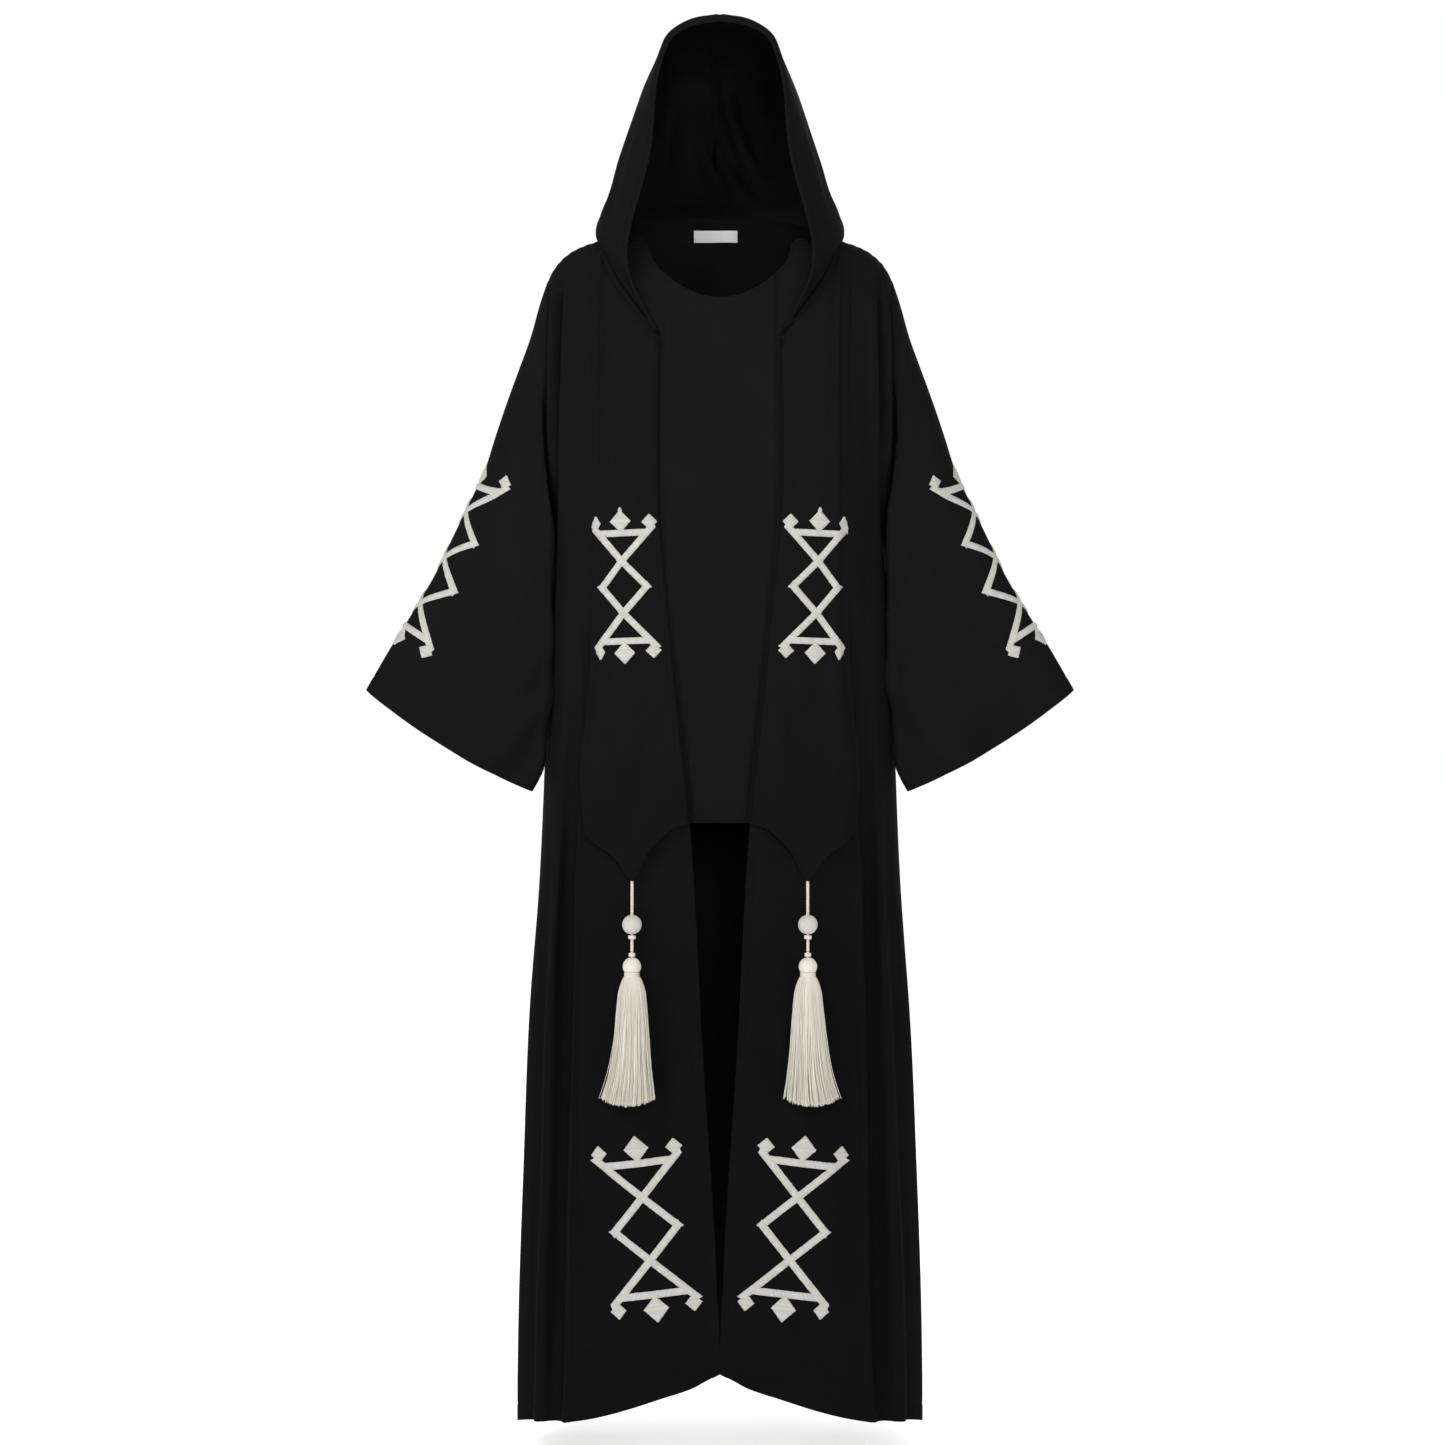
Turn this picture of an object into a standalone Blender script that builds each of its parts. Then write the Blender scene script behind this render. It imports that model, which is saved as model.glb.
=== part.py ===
"""Hooded open kaftan, standing open as if worn, with thick applique and two tassels.

Metres, +Z up, the front towards -Y. The origin lies at the base of the neck, level with
the shoulders. A drop is a distance below the origin. Right pieces lie at +X, left at -X.
Each cloth piece is a wall: a grid of outer points, and the same points moved in.
"""
import bisect
import math

import bmesh
import bpy
import numpy as np
from mathutils.geometry import delaunay_2d_cdt

# Cloth and seams
CLOTH = 0.0018
SEAM = 0.0003
HALF_SEAM = SEAM / 2
NECK_SEAM = 0.0006

# Body: levels, roundness of the sections and of the shoulders
UNDERARM = 0.300
SHOULDER_TIP = (0.2058, 0.048)
ARM_DEPTH = 0.064
FULLNESS = 2.8
SHOULDER_ROUND = 2.2

# Rows and columns of the grids
SKIRT_ROWS = 10
ARM_ROWS = 9
NECK_COLUMNS = 8
SEAM_COLUMNS = 8
COLUMNS = NECK_COLUMNS + SEAM_COLUMNS
HOOD_ROWS = 10
SLEEVE_ROWS = 11

# (drop, half width at the side seam)
WIDTHS = [
    (0.048, 0.2058), (0.160, 0.2055), (0.300, 0.2050), (0.360, 0.2000), (0.475, 0.2040),
    (0.630, 0.2100), (0.768, 0.2160), (0.912, 0.2256), (1.056, 0.2316), (1.248, 0.2380),
    (1.416, 0.2400),
]
# (drop, depth of the cloth before the side seams)
FRONT_DEPTHS = [
    (0.000, 0.112), (0.300, 0.118), (0.500, 0.116), (0.660, 0.117), (0.900, 0.122),
    (1.150, 0.128), (1.416, 0.135),
]
# (drop, depth of the cloth behind the side seams)
BACK_DEPTHS = [
    (-0.040, 0.105), (0.150, 0.112), (0.300, 0.108), (0.480, 0.100), (0.660, 0.110),
    (0.900, 0.124), (1.150, 0.136), (1.416, 0.146),
]
# (distance from the middle, height of the shoulder line)
SHOULDERS = [
    (0.000, 0.056), (0.040, 0.051), (0.086, 0.035), (0.120, 0.0135), (0.146, -0.002),
    (0.162, -0.0075), (0.182, -0.018), (0.197, -0.033), (0.2058, -0.048),
]
# (drop, distance of the front edge from the middle)
FRONT_EDGES = [
    (0.1253, 0.0703), (0.3043, 0.0716), (0.5129, 0.0542), (0.698, 0.0349), (0.960, 0.0200),
    (1.248, 0.0035), (1.340, 0.0035),
]
# (share of the way from the front edge to the side seam, drop of the hem)
FRONT_HEM = [
    (0.00, 1.331), (0.03, 1.346), (0.10, 1.358), (0.30, 1.372), (0.50, 1.388), (0.75, 1.401),
    (1.00, 1.414),
]
# (share of the way from the middle of the back to the side seam, drop of the hem)
BACK_HEM = [(0.00, 1.380), (0.50, 1.388), (0.80, 1.402), (1.00, 1.414)]

# (distance from the middle, drop) along the front neck seam, front edge to shoulder
FRONT_NECK = [
    (0.0703, 0.1253), (0.094, 0.0922), (0.1144, 0.0641), (0.128, 0.0392), (0.146, 0.002),
]
# (distance from the middle, drop) along the back neck seam, middle to shoulder
BACK_NECK = [(0.0, -0.0315), (0.040, -0.031), (0.086, -0.025), (0.122, -0.0105), (0.146, 0.002)]

# Long soft folds of the body. Around counts 0 at the front edge, 1 at the side seam and 2 at
# the middle of the back. Height is outward, and below zero it is a trough.
# (around at the top, around at the hem, drop where it starts, drop where it is full,
#  half width around, height)
FOLDS = [
    (0.47, 0.475, 0.72, 0.95, 0.035, 0.0045), (0.54, 0.55, 0.30, 0.80, 0.045, -0.0070),
    (0.64, 0.64, 0.60, 1.00, 0.045, 0.0050), (0.75, 0.73, 0.66, 1.00, 0.045, -0.0050),
    (0.88, 0.87, 0.75, 1.05, 0.050, 0.0040), (1.14, 1.16, 0.70, 1.00, 0.060, -0.0060),
    (1.30, 1.27, 0.45, 0.90, 0.070, 0.0075), (1.46, 1.43, 0.30, 0.80, 0.070, -0.0080),
    (1.64, 1.60, 0.40, 0.95, 0.080, 0.0070), (1.84, 1.80, 0.25, 0.80, 0.080, -0.0070),
]

# Sleeve: (distance from the middle, drop) along its top fold and along its lower fold
SLEEVE_TOP = [
    (0.2058, 0.048), (0.2142, 0.072), (0.228, 0.120), (0.2412, 0.156), (0.2544, 0.192),
    (0.2706, 0.240), (0.2808, 0.2724), (0.3036, 0.3216), (0.3216, 0.3588), (0.3372, 0.3924),
    (0.3588, 0.4308), (0.3942, 0.4872), (0.4248, 0.540),
]
SLEEVE_UNDER = [
    (0.2055, 0.300), (0.2053, 0.325), (0.2048, 0.360), (0.2072, 0.420), (0.2095, 0.480),
    (0.2120, 0.540), (0.2150, 0.600), (0.2190, 0.640), (0.2244, 0.661),
]
# (share of the way from armhole to cuff, half depth)
SLEEVE_DEPTHS = [(0.0, 0.055), (0.3, 0.052), (0.6, 0.047), (1.0, 0.043)]
CUFF_SAG = 0.008
# Sleeve folds: (turn from the top fold to the lower one, share where full, half width, height)
SLEEVE_FOLDS = [(0.34, 0.75, 0.10, -0.0045), (0.60, 0.85, 0.11, 0.0050), (0.82, 0.60, 0.09, -0.004)]

# Hood: shape of the arch over each place along the neck seam, 0 at the front edge, 0.5 at the
# shoulder and 1 at the nape. Bulge, flank and brow are points of (x, y, z), crown is (y, z).
HOOD_ARCHES = [
    {"at": 0.00, "bulge": (0.1060, -0.097, -0.052), "flank": (0.0800, -0.103, 0.092),
     "brow": (0.0650, -0.106, 0.200), "crown": (-0.107, 0.2400)},
    {"at": 0.07, "bulge": (0.1160, -0.087, -0.036), "flank": (0.0885, -0.096, 0.093),
     "brow": (0.0700, -0.101, 0.201), "crown": (-0.101, 0.2480)},
    {"at": 0.28, "bulge": (0.1400, -0.050, 0.000), "flank": (0.1170, -0.054, 0.074),
     "brow": (0.0735, -0.060, 0.205), "crown": (-0.060, 0.2565)},
    {"at": 0.50, "bulge": (0.1474, 0.000, 0.010), "flank": (0.1260, 0.000, 0.062),
     "brow": (0.0755, 0.000, 0.207), "crown": (0.000, 0.2680)},
    {"at": 0.70, "bulge": (0.1190, 0.049, 0.056), "flank": (0.1040, 0.060, 0.122),
     "brow": (0.0670, 0.064, 0.196), "crown": (0.068, 0.2480)},
    {"at": 0.87, "bulge": (0.0700, 0.074, 0.062), "flank": (0.0740, 0.098, 0.110),
     "brow": (0.0470, 0.106, 0.158), "crown": (0.111, 0.1880)},
    {"at": 1.00, "bulge": (0.0000, 0.066, 0.044), "flank": (0.0000, 0.086, 0.060),
     "brow": (0.0000, 0.101, 0.080), "crown": (0.112, 0.1040)},
]

HOOD_CROWDING = 0.10

# Overlay panels: (distance from the middle, drop) along the top, just outside the neck seam
STOLE_NECK = [
    (0.0703, 0.1310), (0.0975, 0.0960), (0.1190, 0.0680), (0.1340, 0.0430), (0.1500, 0.0120),
    (0.1545, 0.0125),
]
# (drop, distance of the outer edge from the middle)
STOLE_EDGES = [
    (0.0125, 0.1545), (0.150, 0.1500), (0.380, 0.1490), (0.540, 0.1520), (0.640, 0.1600),
    (0.712, 0.1550),
]
# (share of the way from the inner to the outer edge, drop) along the pointed hem
STOLE_HEM = [
    (0.00, 0.698), (0.08, 0.6995), (0.27, 0.7143), (0.42, 0.7370), (0.506, 0.7590),
    (0.546, 0.7640), (0.586, 0.7590), (0.70, 0.7395), (1.00, 0.7122),
]
STOLE_ROWS = 15
STOLE_ACROSS = (0.0, 0.14, 0.28, 0.42, 0.546, 0.70, 0.85, 1.0)
EDGE_LIFT = 0.0008
STOLE_LIFT = 0.0022
STOLE_ROLL = 0.0035
STOLE_HANG = 0.0060

# Inner front panel: (distance from the middle, drop) along its neck and shoulder
INNER_NECK = [
    (0.0, 0.0797), (0.020, 0.0775), (0.039, 0.0695), (0.055, 0.0590), (0.0685, 0.0465),
    (0.0805, 0.0300), (0.0875, 0.0080), (0.1010, 0.0040), (0.1200, 0.0170),
]
INNER_HEM_DROP = 0.696
INNER_HEM_HALF = 0.0520
INNER_MID_HALF = 0.0850
INNER_ROWS_BELOW = 4
INNER_ROWS_ABOVE = 6
INNER_LIFT = 0.0010

# Label sewn in below the back neck: middle, size and thickness
LABEL_MIDDLE = (-0.0054, 0.0127)
LABEL_SIZE = (0.053, 0.0134)
LABEL_LAYER = 0.0010

# Applique: heights of a quarter of the zigzag, half width to the diamonds' corners, stroke
CHEST_MOTIF = {"middle": (0.1136, 0.4211), "quarter": 0.0303, "inner": 0.0285, "outer": 0.0238,
               "stroke": 0.0096, "crossings": 2, "turn": 2.0}
SKIRT_MOTIF = {"middle": (0.0857, 1.1676), "quarter": 0.0367, "inner": 0.0371, "outer": 0.0371,
               "stroke": 0.0104, "crossings": 2, "turn": 7.4}
SLEEVE_MOTIF = {"middle": (0.0, 0.0), "quarter": 0.0305, "inner": 0.0345, "outer": 0.0345,
                "stroke": 0.0098, "crossings": 3, "turn": 0.0}
SLEEVE_MOTIF_DROP = 0.378
MOTIF_LAYER = 0.0014
HOOK_REACH = 1.30
HOOK_ACROSS = 1.19
HOOK_BELOW = 1.48
HOOK_SIZE = 1.90
BAR_REACH = 1.08
END_DIAMOND_REACH = 1.54
END_DIAMOND_SIZE = 0.41
FLAT_MARGIN = 0.004
FLAT_WIDEST = 0.150
FLAT_MERGE = 0.00002
ROOT_MERGE = 0.000000001

# Tassel: lean of its centre line and sizes from the stem's top down
TASSEL_LEAN = 0.085
STEM_RADIUS = 0.0023
BEAD_RADIUS = 0.0113
BEAD_DROP = 0.0497
BEAD_STEPS = 8
COLLAR_DROP = 0.0641
COLLAR_RADIUS = 0.0046
KNOT_DROP = 0.0845
KNOT_RADIUS = 0.0040
HEAD_DROP = 0.0981
HEAD_RADIUS = 0.01065
NECK_DROP = 0.1074
NECK_RADIUS = 0.0088
COLLAR_HALF = 0.0024
COLLAR_BAND = 0.0013
HEAD_TURNS = (36, 62, 90, 118, 144)
NECK_BAND = 0.0020
# Strands: (fall below the neck, spread across, spread in depth, thickness of a strand)
STRAND_LEVELS = [
    (0.000, 0.0076, 0.0076, 0.0007), (0.012, 0.0160, 0.0125, 0.0013),
    (0.050, 0.0225, 0.0160, 0.0016), (0.1506, 0.0315, 0.0180, 0.0020),
]
STRAND_UNEVEN = 0.02
STRAND_SIDES = 3
STRANDS = 30
TURNED_SIDES = 12


def along(table, place):
    """Smooth value at a place, from rows of (place, value) whose places rise."""
    places, values = zip(*table)
    slopes = np.gradient(values, places)
    place = min(max(place, places[0]), places[-1])
    row = min(bisect.bisect_right(places, place), len(places) - 1) - 1
    span = places[row + 1] - places[row]
    share = (place - places[row]) / span
    rest = 1 - share
    return (values[row] * (1 + 2 * share) * rest * rest
            + values[row + 1] * (1 + 2 * rest) * share * share
            + slopes[row] * span * share * rest * rest
            - slopes[row + 1] * span * rest * share * share)


def through(points, share):
    """Point at a share of the length of a smooth curve through the points."""
    points = np.array(points, dtype=float)
    steps = np.linalg.norm(np.diff(points, axis=0), axis=1)
    places = np.concatenate(([0.0], np.cumsum(steps))) / steps.sum()
    return np.array([along(list(zip(places, column)), share) for column in points.T])


def ramp(value, start, full):
    """Smooth step from 0 at the start to 1 where it is full."""
    share = min(max((value - start) / (full - start), 0.0), 1.0)
    return share * share * (3 - 2 * share)


def material(name, colour, roughness):
    made = bpy.data.materials.new(name)
    made.use_nodes = True
    shader = made.node_tree.nodes["Principled BSDF"]
    shader.inputs["Base Color"].default_value = (*colour, 1.0)
    shader.inputs["Roughness"].default_value = roughness
    shader.inputs["Metallic"].default_value = 0.0
    made.diffuse_color = (*colour, 1.0)
    return made


def add_object(name, points, faces, finish):
    """A named object from points and faces, faces out, smooth but for its sharp rims."""
    mesh = bpy.data.meshes.new(name)
    mesh.from_pydata([tuple(point) for point in points], [], faces)
    mesh.materials.append(finish)
    shell = bmesh.new()
    shell.from_mesh(mesh)
    bmesh.ops.recalc_face_normals(shell, faces=shell.faces)
    shell.to_mesh(mesh)
    shell.free()
    mesh.shade_smooth()
    mesh.set_sharp_from_angle(angle=math.radians(50))
    made = bpy.data.objects.new(name, mesh)
    bpy.context.collection.objects.link(made)
    return made


class Panel:
    """A grid of outer points (rows up, columns across) and their normals."""

    def __init__(self, points, outward, ring=False):
        self.points = np.array(points, dtype=float)
        self.ring = ring
        self.outward = outward
        self.normals = self.find_normals()

    def find_normals(self):
        up = np.gradient(self.points, axis=0)
        if self.ring:
            across = np.roll(self.points, -1, axis=1) - np.roll(self.points, 1, axis=1)
        else:
            across = np.gradient(self.points, axis=1)
        normals = np.cross(across, up) * self.outward
        return normals / np.linalg.norm(normals, axis=2, keepdims=True)

    def inner(self, thickness=CLOTH):
        return self.points - self.normals * thickness

    def flatten_normals(self, cells, axis):
        """Turn the normals at a seam into the plane of that seam."""
        for cell in cells:
            self.normals[cell][axis] = 0.0
            self.normals[cell] /= np.linalg.norm(self.normals[cell])

    def triangles(self):
        """Two triangles for each cell, wound to face outward."""
        rows, columns = self.points.shape[:2]
        found = []
        for row in range(rows - 1):
            for column in range(columns if self.ring else columns - 1):
                right = (column + 1) % columns
                corners = [row * columns + column, row * columns + right,
                           (row + 1) * columns + right, (row + 1) * columns + column]
                if self.outward < 0:
                    corners.reverse()
                found.append((corners[0], corners[1], corners[2]))
                found.append((corners[0], corners[2], corners[3]))
        return found


def rim_edges(triangles):
    """Directed edges that only one triangle has."""
    edges = {(face[k], face[(k + 1) % 3]) for face in triangles for k in range(3)}
    return sorted(edge for edge in edges if (edge[1], edge[0]) not in edges)


def closed_wall(outer, inner, triangles):
    """Points and faces of the wall between two like sheets of triangles."""
    count = len(outer)
    faces = [tuple(face) for face in triangles]
    faces += [(face[2] + count, face[1] + count, face[0] + count) for face in triangles]
    for start, end in rim_edges(triangles):
        faces.append((end, start, start + count))
        faces.append((end, start + count, end + count))
    return np.concatenate((outer, inner)), faces


def meet(first, first_cells, second, second_cells):
    """Give two panels a shared mitre along a seam, where they face much the same way."""
    for one, two in zip(first_cells, second_cells):
        normal_one = first.normals[one].copy()
        normal_two = second.normals[two].copy()
        blend = ramp(float(normal_one @ normal_two), 0.0, 0.6)
        first.normals[one] = unit(normal_one + blend * normal_two)
        second.normals[two] = unit(normal_two + blend * normal_one)


def unit(vector):
    return vector / np.linalg.norm(vector)


def shoulder_height(across):
    return along(SHOULDERS, abs(across))


def reach(across, height, depth):
    """Distance of the cloth from the shoulder plane, above the underarm level."""
    rise = (height + UNDERARM) / (UNDERARM - SHOULDER_TIP[1])
    rise = min(max(rise, 0.0), 1.0)
    at_armhole = ARM_DEPTH * math.sqrt(rise * (2 - rise))
    near = (1 - (at_armhole / depth) ** FULLNESS) ** (1 / FULLNESS)
    near *= min(abs(across) / along(WIDTHS, -height), 1.0)
    up = (height + UNDERARM) / (shoulder_height(across) + UNDERARM)
    up = min(max(up, 0.0), 1.0)
    side = (1 - near ** FULLNESS) ** (1 / FULLNESS)
    return depth * side * (1 - up ** SHOULDER_ROUND) ** (1 / SHOULDER_ROUND)


def front_reach(across, drop):
    """Distance of the unfolded front from the shoulder plane, at any drop."""
    depth = along(FRONT_DEPTHS, drop)
    if drop < UNDERARM:
        return reach(across, -drop, depth)
    share = min(abs(across) / along(WIDTHS, drop), 1.0)
    return depth * (1 - share ** FULLNESS) ** (1 / FULLNESS)


def section_point(share, drop, depth, inner_edge):
    """Point of a level section, a share of the way from its inner edge to the side seam."""
    width = along(WIDTHS, drop)
    turn = math.acos((inner_edge / width) ** (FULLNESS / 2)) * (1 - share)
    across = width * max(math.cos(turn), 0.0) ** (2 / FULLNESS)
    return across, depth * math.sin(turn) ** (2 / FULLNESS)


def blended_patch(bottom, top, inner, outer, rises):
    """Points (x, z) of the patch between four edges, rows spaced by the given rises."""
    patch = []
    last = len(bottom) - 1
    for row, rise in enumerate(rises):
        line = []
        for column in range(last + 1):
            share = column / last
            between = (1 - rise) * bottom[column] + rise * top[column]
            between += (1 - share) * inner[row] + share * outer[row]
            corners = (1 - rise) * ((1 - share) * bottom[0] + share * bottom[last])
            corners += rise * ((1 - share) * top[0] + share * top[last])
            line.append(between - corners)
        patch.append(line)
    return patch


def body_half(depths, hem, neck, inner_edge, facing):
    """Right half of the front or back: hem to neck and shoulder, inner edge to side."""
    shares = [column / COLUMNS for column in range(COLUMNS + 1)]
    rows = []
    for row in range(SKIRT_ROWS + 1):
        line = []
        for share in shares:
            hem_drop = along(hem, share)
            drop = hem_drop + (UNDERARM - hem_drop) * row / SKIRT_ROWS
            across, deep = section_point(share, drop, along(depths, drop), inner_edge(drop))
            line.append((across, facing * deep, -drop))
        rows.append(line)
    rises = [(1 - math.cos(math.pi * row / ARM_ROWS)) / 2 for row in range(ARM_ROWS + 1)]
    bottom = [np.array((point[0], point[2])) for point in rows[-1]]
    top = []
    for column in range(NECK_COLUMNS + 1):
        across, drop = through(neck, column / NECK_COLUMNS)
        top.append(np.array((across, -drop)))
    for column in range(1, SEAM_COLUMNS + 1):
        across = top[NECK_COLUMNS][0]
        across += (SHOULDER_TIP[0] - across) * math.sin(math.pi / 2 * column / SEAM_COLUMNS)
        top.append(np.array((across, shoulder_height(across))))
    inner = []
    outer = []
    for rise in rises:
        height = -UNDERARM + rise * (top[0][1] + UNDERARM)
        inner.append(np.array((inner_edge(-height), height)))
        height = -UNDERARM + rise * (UNDERARM - SHOULDER_TIP[1])
        outer.append(np.array((along(WIDTHS, -height), height)))
    for line in blended_patch(bottom, top, inner, outer, rises)[1:]:
        rows.append([(across, facing * reach(across, height, along(depths, -height)), height)
                     for across, height in line])
    return np.array(rows)


def folded(panel, around):
    """Move the points of a body panel out or in where the long folds run."""
    rows, columns = panel.points.shape[:2]
    for row in range(rows):
        for column in range(columns):
            drop = -panel.points[row, column, 2]
            moved = 0.0
            for at_top, at_hem, start, full, width, height in FOLDS:
                middle = at_top + (at_hem - at_top) * ramp(drop, start, 1.4)
                near = (around[column] - middle) / width
                moved += height * ramp(drop, start, full) * math.exp(-near * near)
            panel.points[row, column] += panel.normals[row, column] * moved
    panel.normals = panel.find_normals()
    return panel


def seam_cells():
    """Cells (row, column) of a body half along its side, shoulder and armhole seams."""
    top = SKIRT_ROWS + ARM_ROWS
    side = [(row, COLUMNS) for row in range(SKIRT_ROWS + 1)]
    shoulder = [(top, column) for column in range(NECK_COLUMNS, COLUMNS + 1)]
    armhole = [(row, COLUMNS) for row in range(SKIRT_ROWS, top + 1)]
    neck = [(top, column) for column in range(NECK_COLUMNS + 1)]
    return side, shoulder, armhole, neck


def body_panel(depths, hem, neck, inner_edge, facing):
    """Right half of the front (facing -1) or of the back (facing 1), with its folds."""
    around = [column / COLUMNS for column in range(COLUMNS + 1)]
    if facing > 0:
        around = [2 - share for share in around]
    panel = Panel(body_half(depths, hem, neck, inner_edge, facing), -facing)
    panel = folded(panel, around)
    side, shoulder, _, _ = seam_cells()
    panel.flatten_normals(side + shoulder, 1)
    for cell in set(side + shoulder):
        panel.points[cell][1] = facing * HALF_SEAM
    return panel


def sleeve_panel(front, back):
    """Right sleeve, a tube from the armhole to the open cuff, down its top and lower folds."""
    around = 2 * ARM_ROWS
    top = SKIRT_ROWS + ARM_ROWS
    armhole = [front.points[top - k, COLUMNS] for k in range(ARM_ROWS + 1)]
    armhole += [back.points[top - k, COLUMNS] for k in range(ARM_ROWS - 1, 0, -1)]
    rows = []
    for row in range(SLEEVE_ROWS + 1):
        share = row / SLEEVE_ROWS
        high = through(SLEEVE_TOP, share)
        low = through(SLEEVE_UNDER, share)
        depth = along(SLEEVE_DEPTHS, share)
        chord = unit(high - low)
        line = []
        for k in range(around):
            turn = math.pi * k / ARM_ROWS
            rise = (1 + math.cos(turn)) / 2
            across, drop = low + (high - low) * rise
            sag = CUFF_SAG * 4 * rise * (1 - rise) * share ** 2
            line.append((across - chord[1] * sag, -depth * math.sin(turn), -drop - chord[0] * sag))
        rows.append(line)
    points = np.array(rows)
    lean = np.array(armhole) + (SEAM, 0, 0) - points[0]
    lean[0, 1] = 0.0
    lean[ARM_ROWS, 1] = 0.0
    for row in range(SLEEVE_ROWS + 1):
        points[row] += lean * (1 - ramp(row / SLEEVE_ROWS, 0.0, 0.4))
    panel = Panel(points, 1, ring=True)
    for row in range(SLEEVE_ROWS + 1):
        share = row / SLEEVE_ROWS
        for k in range(around):
            turn = min(k, around - k) / ARM_ROWS
            moved = sum(height * ramp(share, 0.15, full) * math.exp(-((turn - at) / width) ** 2)
                        for at, full, width, height in SLEEVE_FOLDS)
            panel.points[row, k] += panel.normals[row, k] * moved
    panel.normals = panel.find_normals()
    return panel


def hood_panel(front, back):
    """Right half of the hood: arches from the neck seam up to the seam over the crown."""
    top = SKIRT_ROWS + ARM_ROWS
    neck = [front.points[top, k] for k in range(NECK_COLUMNS)]
    neck += [back.points[top, k] for k in range(NECK_COLUMNS, -1, -1)]
    count = len(neck) - 1
    columns = []
    for k, base in enumerate(neck):
        at = k / count
        shape = {}
        for part, axes in (("bulge", 3), ("flank", 3), ("brow", 3), ("crown", 2)):
            shape[part] = [along([(arch["at"], arch[part][axis]) for arch in HOOD_ARCHES], at)
                           for axis in range(axes)]
        crown = (0.0, *shape["crown"])
        brow = np.array(shape["brow"])
        cap = [brow + (np.array(crown) - brow) * (1 - math.cos(turn), 0.5 * turn, math.sin(turn))
               for turn in (math.pi / 6, math.pi / 3)]
        line = [base, shape["bulge"], shape["flank"], brow, *cap, crown]
        columns.append([through(line, share) for share in hood_shares()])
    points = np.array(columns).transpose(1, 0, 2)
    points[:, -1, 0] = 0.0
    panel = Panel(points, 1)
    panel.normals[-1, -1] = panel.normals[-2, -2]
    seam = [(HOOD_ROWS, k) for k in range(count + 1)] + [(row, count) for row in range(HOOD_ROWS)]
    panel.flatten_normals(seam, 0)
    for cell in seam:
        panel.points[cell][0] = HALF_SEAM
    along_seam = np.gradient(panel.points[0], axis=0)
    for k in range(count + 1):
        step = panel.points[1, k] - panel.points[0, k]
        way = unit(along_seam[k])
        panel.points[0, k] += unit(step - way * (step @ way)) * NECK_SEAM
    return panel


def hood_shares():
    """Places up an arch, closer together over the crown."""
    steps = [row / HOOD_ROWS for row in range(HOOD_ROWS + 1)]
    return [step + HOOD_CROWDING * math.sin(math.pi * step) for step in steps]


def lifted(panel, lifts):
    """A panel that lies at given heights over the surface it was made from."""
    panel.points += panel.normals * np.array(lifts)[..., np.newaxis]
    panel.normals = panel.find_normals()
    return panel


def stole_panel():
    """Right overlay panel, from the neck and shoulder down to its pointed hem."""
    below = STOLE_ROWS - ARM_ROWS
    rows = []
    for row in range(below + 1):
        line = []
        for share in STOLE_ACROSS:
            hem = along(STOLE_HEM, share)
            drop = hem + (UNDERARM - hem) * row / below
            inner = along(FRONT_EDGES, min(drop, STOLE_HEM[0][1]))
            across = inner + (along(STOLE_EDGES, drop) - inner) * share
            line.append((across, -front_reach(across, drop), -drop))
        rows.append(line)
    rises = [(1 - math.cos(math.pi * row / ARM_ROWS)) / 2 for row in range(ARM_ROWS + 1)]
    bottom = [np.array((point[0], point[2])) for point in rows[-1]]
    top = [through(STOLE_NECK, share) * (1, -1) for share in STOLE_ACROSS]
    inner = []
    outer = []
    for rise in rises:
        height = -UNDERARM + rise * (top[0][1] + UNDERARM)
        inner.append(np.array((along(FRONT_EDGES, -height), height)))
        height = -UNDERARM + rise * (top[-1][1] + UNDERARM)
        outer.append(np.array((along(STOLE_EDGES, -height), height)))
    for line in blended_patch(bottom, top, inner, outer, rises)[1:]:
        rows.append([(across, -front_reach(across, -height), height) for across, height in line])
    lifts = []
    for row in range(STOLE_ROWS + 1):
        hang = STOLE_HANG * (1 - ramp(row, 0, below)) ** 2
        line = []
        for share in STOLE_ACROSS:
            near = ramp(share, 0, 0.3) * ramp(STOLE_ROWS - row, 0, 3)
            roll = STOLE_ROLL * math.exp(-((share - 0.88) / 0.10) ** 2)
            line.append(CLOTH + EDGE_LIFT + (STOLE_LIFT - EDGE_LIFT + roll) * near + hang)
        lifts.append(line)
    return lifted(Panel(rows, 1), lifts)


def inner_panel():
    """Inner front panel, right half mirrored to the left, behind the front edges."""
    count = len(INNER_NECK) - 1
    rows = []
    for row in range(INNER_ROWS_BELOW + 1):
        share = row / INNER_ROWS_BELOW
        drop = INNER_HEM_DROP + (UNDERARM - INNER_HEM_DROP) * share
        half = INNER_HEM_HALF + (INNER_MID_HALF - INNER_HEM_HALF) * share
        rows.append([(half * k / count, -front_reach(half * k / count, drop), -drop)
                     for k in range(count + 1)])
    rises = [math.sin(math.pi / 2 * row / INNER_ROWS_ABOVE) for row in range(INNER_ROWS_ABOVE + 1)]
    bottom = [np.array((point[0], point[2])) for point in rows[-1]]
    top = [np.array((across, -drop)) for across, drop in INNER_NECK]
    inner = [bottom[0] + (top[0] - bottom[0]) * rise for rise in rises]
    outer = [bottom[-1] + (top[-1] - bottom[-1]) * rise for rise in rises]
    for line in blended_patch(bottom, top, inner, outer, rises)[1:]:
        rows.append([(across, -front_reach(across, -height), height) for across, height in line])
    right = np.array(rows)
    left = right[:, :0:-1] * (-1, 1, 1)
    panel = Panel(np.concatenate((left, right), axis=1), 1)
    return lifted(panel, np.full(panel.points.shape[:2], -CLOTH - INNER_LIFT))


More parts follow.
